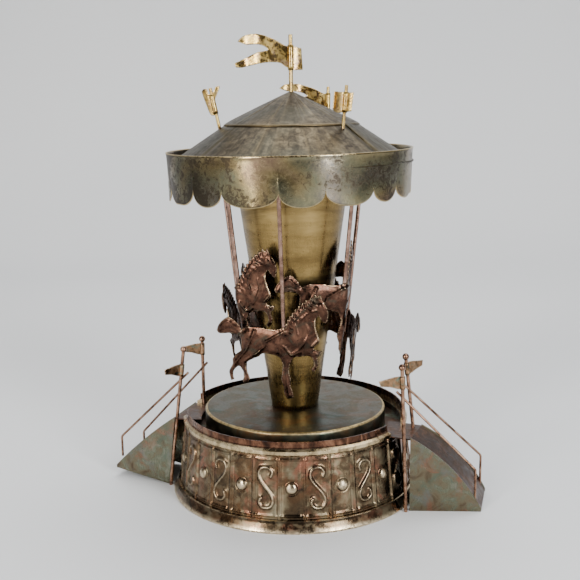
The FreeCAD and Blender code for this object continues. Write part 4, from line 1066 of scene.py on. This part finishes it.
def make_flags():
    """The swallowtail at the top, and three crumpled ones on the leaning roof poles."""
    level = (low("top_flag").z + high("top_flag").z) / 2 / MM - TOP_FLAG_DROP
    make_flag("swallowtail_flag", "top_flag", pole_place(Vector((0, 0, level)), Vector((0, 0, 1)), 6.0, 0.0),
              [leaf(BANNER, 0.7, 0.9, side=-1.0), leaf(TAB, 5.0, 0.0)], tube(SLEEVE_RADIUS["top"], -6.2, 5.8))
    # Azimuth and lean of the pole, azimuth of the flag about it, and leaves.
    small = {
        "left": (192.0, 12.0, 350.0, [leaf(FOLDED, 6.0, 0.5)]),
        "right": (-48.0, 7.0, 184.0, [leaf(ROLL, 9.0, 0.0)]),
        "back": (58.0, 3.0, 178.0, [leaf(scaled(BANNER, 1.0, 0.8), 0.8, 1.2)]),
    }
    for name, (azimuth, lean, heading, leaves) in small.items():
        angle, tilt = math.radians(azimuth), math.radians(lean)
        outward = Vector((math.cos(angle), math.sin(angle), 0))
        up = outward * math.sin(tilt) + Vector((0, 0, math.cos(tilt)))
        foot = outward * ROOF_POLE_RADIUS + Vector((0, 0, ROOF_POLE_FOOT))
        make_flag(f"small_flag_{name}", f"roof_flag_{name}", pole_place(foot, up, heading, SMALL_FLAG_ALONG),
                  leaves, tube(SLEEVE_RADIUS["small"], -4.8, 4.6))


# Ramp posts that carry a pennant: foot, head at the ball's level, heading and level of the pennant.
POSTS = {
    "right_front": ((53.5, -39.7), (50.9, -40.6), 172.0, 66.0),
    "right_back": ((63.2, -20.4), (55.0, -20.9), 28.0, 67.5),
    "left_front": ((-66.3, -1.6), (-57.2, -0.6), 215.0, 62.5),
    "left_back": ((-49.5, 20.9), (-49.5, 20.9), 172.0, 68.0),
}
FINIAL_LEVEL = 73.5


def make_pennants():
    """A pennant and its sleeve on each ramp post, as one piece."""
    parts = []
    for foot, head, heading, level in POSTS.values():
        lower, upper = Vector((*foot, 0)), Vector((*head, FINIAL_LEVEL))
        up = (upper - lower).normalized()
        place = pole_place(lower, up, heading, (upper - lower).length * level / FINIAL_LEVEL)
        sleeve = tube(SLEEVE_RADIUS["pennant"], -3.2, 3.0)
        parts += [placed(part, place) for part in (leaf(PENNANT, 2.0, 0.5), sleeve)]
    pennants = joined("wrapped_pennants", parts)
    thicken(pennants, LEAF_GAUGE, offset=0.0)
    settle(pennants, "base", "pennant_copper", "post_pennants")


def dress_nodes():
    """Finish for every CAD node that stays in view."""
    slots = {part["node"]: part["material_slot"] for part in frame["record"]["subparts"]}
    for name, node in frame["nodes"].items():
        node.data.materials.clear()
        node.data.materials.append(FINISHES[slots[name]])


FINISHES = make_finishes()
make_camera()
make_world()
make_lamp("window_left", azimuth=-38, level=0.42, distance=1.2, width=0.20, height=0.8, power=15.0,
          tint=(1.0, 0.98, 0.94))
make_lamp("window_right", azimuth=36, level=0.45, distance=1.2, width=0.28, height=0.8, power=18.0,
          tint=(0.96, 0.98, 1.0))
make_lamp("ceiling", azimuth=165, level=1.5, distance=0.5, width=1.4, height=1.0, power=20.0)
make_stage()
dress_nodes()
make_drum_wall()
make_foot()
make_disc()
make_column()
make_roof()
make_skirt()
make_horses()
make_flags()
make_pennants()
